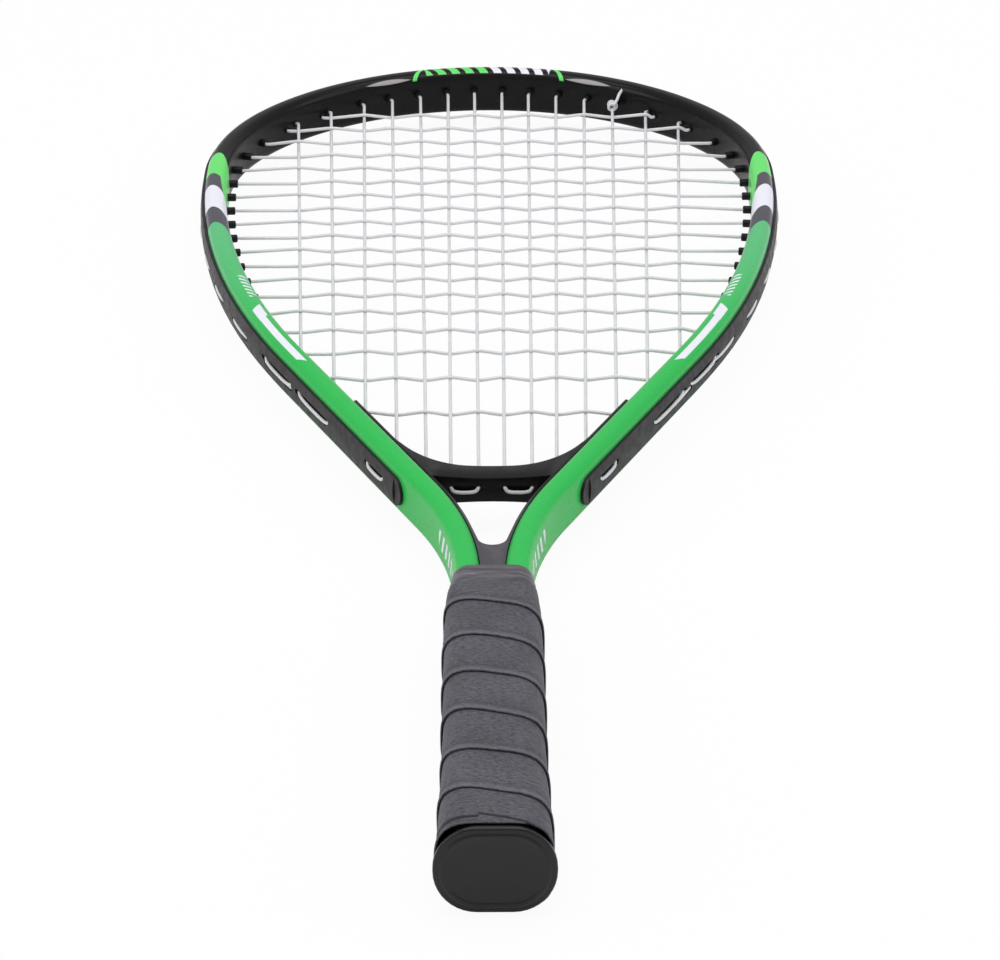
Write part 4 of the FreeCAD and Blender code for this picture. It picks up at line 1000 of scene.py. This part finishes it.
# A tape's lower edge stands up as a ridge with a dip above it, and wanders a little
RIDGE_HEIGHT, RIDGE_START, RIDGE_END = 0.25 * MM, 1.4 * MM, 3.4 * MM
DIP_DEPTH, DIP_PLACE, DIP_WIDTH = 0.30 * MM, 4.4 * MM, 1.3 * MM
CREASE_HEIGHT, EDGE_WOBBLE = 0.10 * MM, 0.9 * MM
GRIP_SQUARENESS, NECK_SQUARENESS = 3.4, 5.5
TAPE_TURN_STEP, TAPE_STEPS_ACROSS = math.radians(4), 22
EDGE_SHARES = (0, 0.04, 0.12, 0.26, 0.46, 0.72)
EDGE_CLOSED = 0.0001 * MM
WRAP_RADIUS, PULL_RADIUS = 13.5 * MM, 14.0 * MM


def under_tape(y):
    """Half width and half depth of what the tape lies on."""
    if y <= SKIRT_END_Y:
        margin = SKIRT_MARGIN + SKIRT_FLARE * min(1, (SKIRT_END_Y - y) / (SKIRT_END_Y - FLANGE_Y))
        return tuple(half + margin for half in CORE_HALF)
    if y <= SKIRT_END_Y + STEP_RAMP:
        share = 1 - (y - SKIRT_END_Y) / STEP_RAMP
        return tuple(half + share * SKIRT_MARGIN for half in CORE_HALF)
    if y <= TAPER_Y:
        return CORE_HALF
    share = (y - TAPER_Y) / (NECK_Y - TAPER_Y)
    return tuple(a + (b - a) * share for a, b in zip(CORE_HALF, NECK_HALF))


def eased(value, low, high):
    """Runs smoothly from 0 to 1 between two values."""
    share = min(1.0, max(0.0, (value - low) / (high - low)))
    return share * share * (3 - 2 * share)


def lower_edge(turn):
    """Height of the tape's lower edge at a winding angle."""
    return TAPE_PHASE_Y + TAPE_PITCH * (turn / (2 * math.pi) - 0.25)


def tape_section(turn, place, half_thick):
    """Point of the tape at a winding angle, a distance above its lower edge, and above or
    below its middle surface."""
    low = lower_edge(turn)
    y = low + place
    slope = TAPE_LOW_HEIGHT + (TAPE_HIGH_HEIGHT - TAPE_LOW_HEIGHT) * place / TAPE_WIDTH
    ridge = RIDGE_HEIGHT * (1 - eased(place, RIDGE_START, RIDGE_END))
    dip = DIP_DEPTH * math.exp(-((place - DIP_PLACE) / DIP_WIDTH) ** 2)
    crease = pulls(turn, place) * CREASE_HEIGHT * eased(place, 0.5 * MM, 3 * MM)
    height = slope + ridge - dip + crease - TAPE_THICK / 2 + half_thick
    half_width, half_depth = under_tape(y)
    if low > TAPE_START_Y:
        y += EDGE_WOBBLE * pattern.noise(Vector((turn * 0.9, 0, 5.5))) * (1 - place / TAPE_WIDTH)
    neck = min(1.0, max(0.0, (y - TAPER_Y) / (NECK_Y - TAPER_Y)))
    power = GRIP_SQUARENESS + (NECK_SQUARENESS - GRIP_SQUARENESS) * neck
    pull = (abs(math.cos(turn)) / (half_width + height)) ** power
    pull += (abs(math.sin(turn)) / (half_depth + height)) ** power
    radius = pull ** (-1 / power)
    return Vector((radius * math.cos(turn), y, radius * math.sin(turn)))


def pulls(turn, place):
    """Soft pulls in the tape, longer along the winding than across it."""
    along, across = turn * PULL_RADIUS / MM, place / MM
    slow = pattern.noise(Vector((along * 0.05 + across * 0.06, across * 0.32, 3.1)))
    fine = pattern.noise(Vector((along * 0.16 - across * 0.10, across * 0.75, 9.7)))
    return slow + 0.45 * fine


def tape_row(build, turn):
    """One cut across the tape: its winding angle, its places above the lower edge, and the
    points on its outer and inner side."""
    edge = TAPE_THICK / 2
    low = lower_edge(turn)
    start = max(0.0, TAPE_START_Y - low)
    end = min(TAPE_WIDTH, TAPE_END_Y - low)
    places = [start + edge * share for share in EDGE_SHARES]
    places += [start + edge + (end - start - 2 * edge) * step / TAPE_STEPS_ACROSS
               for step in range(TAPE_STEPS_ACROSS + 1)]
    places += [end - edge * share for share in reversed(EDGE_SHARES)]
    upper, lower = [], []
    for place in places:
        inset = min(place - start, end - place, edge) / edge
        half = edge * math.sqrt(max(0.0, 1 - (1 - inset) ** 2))
        upper.append(build.verts.new(tape_section(turn, place, half)))
        lower.append(upper[-1] if half < EDGE_CLOSED else
                     build.verts.new(tape_section(turn, place, -half)))
    return turn, places, upper, lower


def join_rows(build, layer, first, second):
    """Faces between two neighbouring cuts, with the distance along and across the tape."""
    turn_a, places_a, upper_a, lower_a = first
    turn_b, places_b, upper_b, lower_b = second
    for column in range(len(places_a) - 1):
        for side_a, side_b, order in ((upper_a, upper_b, 1), (lower_a, lower_b, -1)):
            corners = [side_a[column], side_a[column + 1], side_b[column + 1], side_b[column]]
            wraps = [(turn_a, places_a[column]), (turn_a, places_a[column + 1]),
                     (turn_b, places_b[column + 1]), (turn_b, places_b[column])]
            face = build.faces.new(corners[::order])
            for loop, (turn, place) in zip(face.loops, wraps[::order]):
                loop[layer].uv = (turn * WRAP_RADIUS, place)


def close_end(build, row):
    """Closes one end of the tape between its outer and inner side."""
    _, places, upper, lower = row
    for column in range(len(places) - 1):
        ring = [upper[column], upper[column + 1], lower[column + 1], lower[column]]
        build.faces.new([vert for k, vert in enumerate(ring) if vert not in ring[:k]])


def make_tape():
    mesh = bpy.data.meshes.new("grip_tape_wound")
    build = bmesh.new()
    layer = build.loops.layers.uv.new("wrap")
    winding = TAPE_LAST_TURN - TAPE_FIRST_TURN
    count = round(winding / TAPE_TURN_STEP)
    rows = [tape_row(build, TAPE_FIRST_TURN + winding * index / count)
            for index in range(count + 1)]
    for first, second in zip(rows[:-1], rows[1:]):
        join_rows(build, layer, first, second)
    close_end(build, rows[0])
    close_end(build, rows[-1])
    bmesh.ops.recalc_face_normals(build, faces=build.faces)
    build.to_mesh(mesh)
    build.free()
    piece = bpy.data.objects.new("grip_tape_wound", mesh)
    bpy.context.scene.collection.objects.link(piece)
    smooth(piece, 60)
    return piece


TAPE_GREY, TAPE_GREY_WORN = rgb(76, 74, 83), rgb(92, 90, 99)
THREAD_PITCH = 0.6 * MM
FLAP_X, FLAP_GAP_Y, FLAP_FOLD_Y, FLAP_FALL = -4.6 * MM, 6.8 * MM, 8.3 * MM, -0.31


def tape_material():
    material, tree, shader = new_material("grip_wrap")
    wrap = node(tree, "ShaderNodeUVMap", uv_map="wrap").outputs[0]
    place = object_place(tree)
    split = node(tree, "ShaderNodeSeparateXYZ")
    tree.links.new(wrap, split.inputs[0])
    patches = noise(tree, place, 60, 4)
    colour = blend(tree, ramp(tree, patches, 0.3, 0.7, 0, 1), TAPE_GREY, TAPE_GREY_WORN)
    # Fine dark and pale threads, longer along the winding
    threads = noise(tree, wrap, 1100, 3, roughness=0.7, stretch=(0.5, 1.3, 1))
    colour = blend(tree, ramp(tree, threads, 0.44, 0.62, 0, 0.75), colour, rgb(46, 45, 51))
    light = noise(tree, wrap, 1300, 2, roughness=0.6, stretch=(0.55, 1.2, 1))
    colour = blend(tree, ramp(tree, light, 0.52, 0.68, 0, 0.35), colour, rgb(122, 120, 128))
    # Painted shade: a soft darker band in the dip above the lower edge. Painted highlight: a paler
    # band along the ridge at that edge
    above_edge = split.outputs["Y"]
    shade = span(tree, above_edge, 3.4 * MM, 4.6 * MM, 1.1 * MM)
    colour = blend(tree, sums(tree, "MULTIPLY", shade, 0.5), colour, rgb(44, 43, 49))
    ridge_painted_highlight = span(tree, above_edge, 0.3 * MM, 1.6 * MM, 0.5 * MM)
    colour = blend(tree, sums(tree, "MULTIPLY", ridge_painted_highlight, 0.3), colour, rgb(128, 126, 134))
    flap, gap = start_flap(tree, place)
    # Painted shadow: a dark line under the flap's raised edge
    colour = blend(tree, sums(tree, "MULTIPLY", gap, 0.95), colour, rgb(12, 11, 13))
    tree.links.new(colour, shader.inputs["Base Color"])
    tree.links.new(ramp(tree, patches, 0.3, 0.7, 0.66, 0.8), shader.inputs["Roughness"])
    shader.inputs["Specular IOR Level"].default_value = 0.3
    shader.inputs["Sheen Weight"].default_value = 0.08
    shader.inputs["Sheen Roughness"].default_value = 0.5
    weave = []
    for axis in ("X", "Y"):
        turns = sums(tree, "MULTIPLY", split.outputs[axis], 2 * math.pi / THREAD_PITCH)
        weave.append(sums(tree, "SINE", turns))
    cloth = sums(tree, "MULTIPLY", weave[0], weave[1])
    height = sums(tree, "MULTIPLY_ADD", threads, 3.0, cloth)
    height = sums(tree, "MULTIPLY_ADD", flap, 12.0, height)
    bump(tree, shader, height, 0.06 * MM, 0.8)
    return material


def start_flap(tree, place):
    """The cut end where the winding starts, folded over just above the cap: its raised edge
    and a dark line of painted shadow under it."""
    split = node(tree, "ShaderNodeSeparateXYZ")
    tree.links.new(place, split.inputs[0])
    x, y, z = split.outputs["X"], split.outputs["Y"], split.outputs["Z"]
    over = sums(tree, "ADD", x, -FLAP_X)
    level = sums(tree, "MULTIPLY_ADD", sums(tree, "ABSOLUTE", over), 0.08, FLAP_GAP_Y)
    falling = sums(tree, "MULTIPLY_ADD", over, FLAP_FALL, FLAP_FOLD_Y)
    right = ramp(tree, over, -0.2 * MM, 0.2 * MM, 0, 1)
    line = node(tree, "ShaderNodeMix", data_type="FLOAT")
    for index, value in ((0, right), (2, level), (3, falling)):
        feed(tree, line, index, value)
    above = sums(tree, "SUBTRACT", y, line.outputs[0])
    upper_side = ramp(tree, z, 2 * MM, 6 * MM, 0, 1)
    near = sums(tree, "MULTIPLY", upper_side, ramp(tree, x, 9 * MM, 13 * MM, 1, 0))
    step = sums(tree, "MULTIPLY", ramp(tree, above, -0.3 * MM, 0.3 * MM, 0, 1), near)
    # Painted shadow line just under the flap's edge
    gap = sums(tree, "MULTIPLY", span(tree, above, -1.3 * MM, -0.2 * MM, 0.25 * MM), near)
    return step, gap


finish_piece(make_tape(), ["grip_tape"], tape_material())


# Finishing tape: a thin band over the grip's upper end, with a step where its second lap starts
BAND_WIDTH, BAND_DEPTH, BAND_CORNER, BAND_THICK = 25.6, 19.4, 5.9, 0.45
# Growth and height of each ring in millimetres
BAND_RINGS = ((0.35, 147.32), (0.72, 147.4), (0.85, 147.7), (0.72, 149.0), (0.84, 150.6),
              (0.66, 152.2), (0.74, 153.4), (0.62, 154.2), (0.3, 154.3), (0.34, 155.6),
              (0.16, 156.6), (0.24, 157.8), (0.05, 159.4), (-0.1, 159.9), (-0.35, 159.95))


def make_band():
    rings = [((BAND_WIDTH + 2 * grow) * MM, (BAND_DEPTH + 2 * grow) * MM, y * MM)
             for grow, y in BAND_RINGS]
    piece = first_ring(rings[0][0], rings[0][1], BAND_CORNER * MM, rings[0][2], 8)
    next_rings(rings[0], rings[1:])
    bpy.ops.object.mode_set(mode="OBJECT")
    piece.name = "finishing_tape_wound"
    return piece


def band_material():
    """Stretched tape: streaks that run round and slightly up the band, the pale ones painted
    highlights, and a painted shadow along its lower edge.
    """
    material, tree, shader = new_material("finishing_band")
    place = object_place(tree)
    streaks = noise(tree, place, 260, 3, stretch=(0.25, 1.6, 0.25))
    colour = blend(tree, ramp(tree, streaks, 0.35, 0.6, 0, 1), rgb(62, 60, 66), rgb(96, 93, 100))
    # Pale streaks: painted highlights on the band's ridges
    colour = blend(tree, ramp(tree, streaks, 0.6, 0.68, 0, 0.55), colour, rgb(150, 147, 154))
    split = node(tree, "ShaderNodeSeparateXYZ")
    tree.links.new(place, split.inputs[0])
    # Painted shadow: a dark line along the band's lower edge, where it stands over the grip tape
    edge = ramp(tree, split.outputs["Y"], 147.7 * MM, 148.3 * MM, 1, 0)
    colour = blend(tree, edge, colour, rgb(14, 13, 15))
    tree.links.new(colour, shader.inputs["Base Color"])
    tree.links.new(ramp(tree, streaks, 0.3, 0.7, 0.30, 0.46), shader.inputs["Roughness"])
    shader.inputs["Specular IOR Level"].default_value = 0.4
    bump(tree, shader, streaks, 0.5 * MM, 0.8)
    return material


band = make_band()
outward(band)
apply_modifier(band, "SOLIDIFY", thickness=BAND_THICK * MM, offset=-1)
smooth(band, 60)
finish_piece(band, ["finishing_tape"], band_material())

# Parts under the grip keep their CAD shape
foam = plastic("handle_foam", rgb(58, 57, 60), 0.85, 0.12 * MM, 1100)
for shell in ("handle_shell_upper", "handle_shell_lower"):
    nodes[shell].data.materials.clear()
    nodes[shell].data.materials.append(foam)


def steel():
    material, tree, shader = new_material("staple_steel")
    place = object_place(tree)
    colour = blend(tree, noise(tree, place, 400, 3), rgb(150, 150, 152), rgb(186, 186, 190))
    tree.links.new(colour, shader.inputs["Base Color"])
    shader.inputs["Metallic"].default_value = 1.0
    tree.links.new(ramp(tree, noise(tree, place, 900, 2), 0.3, 0.7, 0.25, 0.4),
                   shader.inputs["Roughness"])
    bump(tree, shader, noise(tree, place, 5000, 2), 0.01 * MM, 0.5)
    return material


nodes["butt_cap_staples"].data.materials.clear()
nodes["butt_cap_staples"].data.materials.append(steel())


# Floor, light and camera. The floor and the room look brighter to the camera than they shine
FLOOR_Z, FLOOR_SIZE = cad_box[0][2] - 0.4 * MM, 12
FLOOR_PLAIN, ROOM_SHINE = 0.94, 0.55
LENS, SENSOR_WIDTH = 141.44, 36
CAMERA_PLACE = (-0.00426, -0.91698, 0.600)
CAMERA_TILT, CAMERA_PAN = math.radians(62.5), math.radians(-0.349)


def floor_material():
    material = bpy.data.materials.new("pale_floor")
    material.use_nodes = True
    tree = material.node_tree
    tree.nodes.clear()
    path = node(tree, "ShaderNodeLightPath")
    lit = node(tree, "ShaderNodeBsdfDiffuse")
    lit.inputs["Color"].default_value = (0.86, 0.86, 0.86, 1)
    plain = node(tree, "ShaderNodeEmission")
    plain.inputs["Strength"].default_value = 1.0
    share = sums(tree, "MULTIPLY", path.outputs["Is Camera Ray"], FLOOR_PLAIN)
    mix = node(tree, "ShaderNodeMixShader")
    out = node(tree, "ShaderNodeOutputMaterial")
    tree.links.new(share, mix.inputs[0])
    tree.links.new(lit.outputs[0], mix.inputs[1])
    tree.links.new(plain.outputs[0], mix.inputs[2])
    tree.links.new(mix.outputs[0], out.inputs[0])
    return material


clear_selection()
bpy.ops.mesh.primitive_plane_add(size=FLOOR_SIZE, location=(0, 1, FLOOR_Z))
floor = bpy.context.object
floor.name = "floor"
floor.data.materials.append(floor_material())


def softbox(name, place, target, size, power):
    light = bpy.data.lights.new(name, "AREA")
    light.shape = "RECTANGLE"
    light.size, light.size_y = size
    light.energy = power
    lamp = bpy.data.objects.new(name, light)
    bpy.context.scene.collection.objects.link(lamp)
    lamp.location = place
    lamp.rotation_euler = (Vector(target) - Vector(place)).to_track_quat("-Z", "Y").to_euler()


softbox("overhead_softbox", (0.0, 0.35, 1.5), (0, 0.3, 0), (1.6, 1.2), 12)
softbox("left_softbox", (-1.4, -0.2, 0.9), (0, 0.3, 0), (0.9, 1.2), 6)
softbox("right_softbox", (1.4, 0.2, 0.9), (0, 0.3, 0), (0.9, 1.2), 4)

world = bpy.context.scene.world or bpy.data.worlds.new("studio")
bpy.context.scene.world = world
world.use_nodes = True
tree = world.node_tree
tree.nodes.clear()
path = node(tree, "ShaderNodeLightPath")
room = node(tree, "ShaderNodeBackground")
seen = sums(tree, "MAXIMUM", path.outputs["Is Camera Ray"], path.outputs["Is Transmission Ray"])
room.inputs["Color"].default_value = (1, 1, 1, 1)
tree.links.new(ramp(tree, seen, 0, 1, ROOM_SHINE, 1.0), room.inputs["Strength"])
out = node(tree, "ShaderNodeOutputWorld")
tree.links.new(room.outputs[0], out.inputs[0])

camera_data = bpy.data.cameras.new("camera")
camera_data.lens = LENS
camera_data.sensor_width = SENSOR_WIDTH
camera = bpy.data.objects.new("camera", camera_data)
bpy.context.scene.collection.objects.link(camera)
camera.location = CAMERA_PLACE
camera.rotation_euler = (CAMERA_TILT, 0, CAMERA_PAN)
bpy.context.scene.camera = camera
bpy.context.scene.view_settings.view_transform = "Standard"
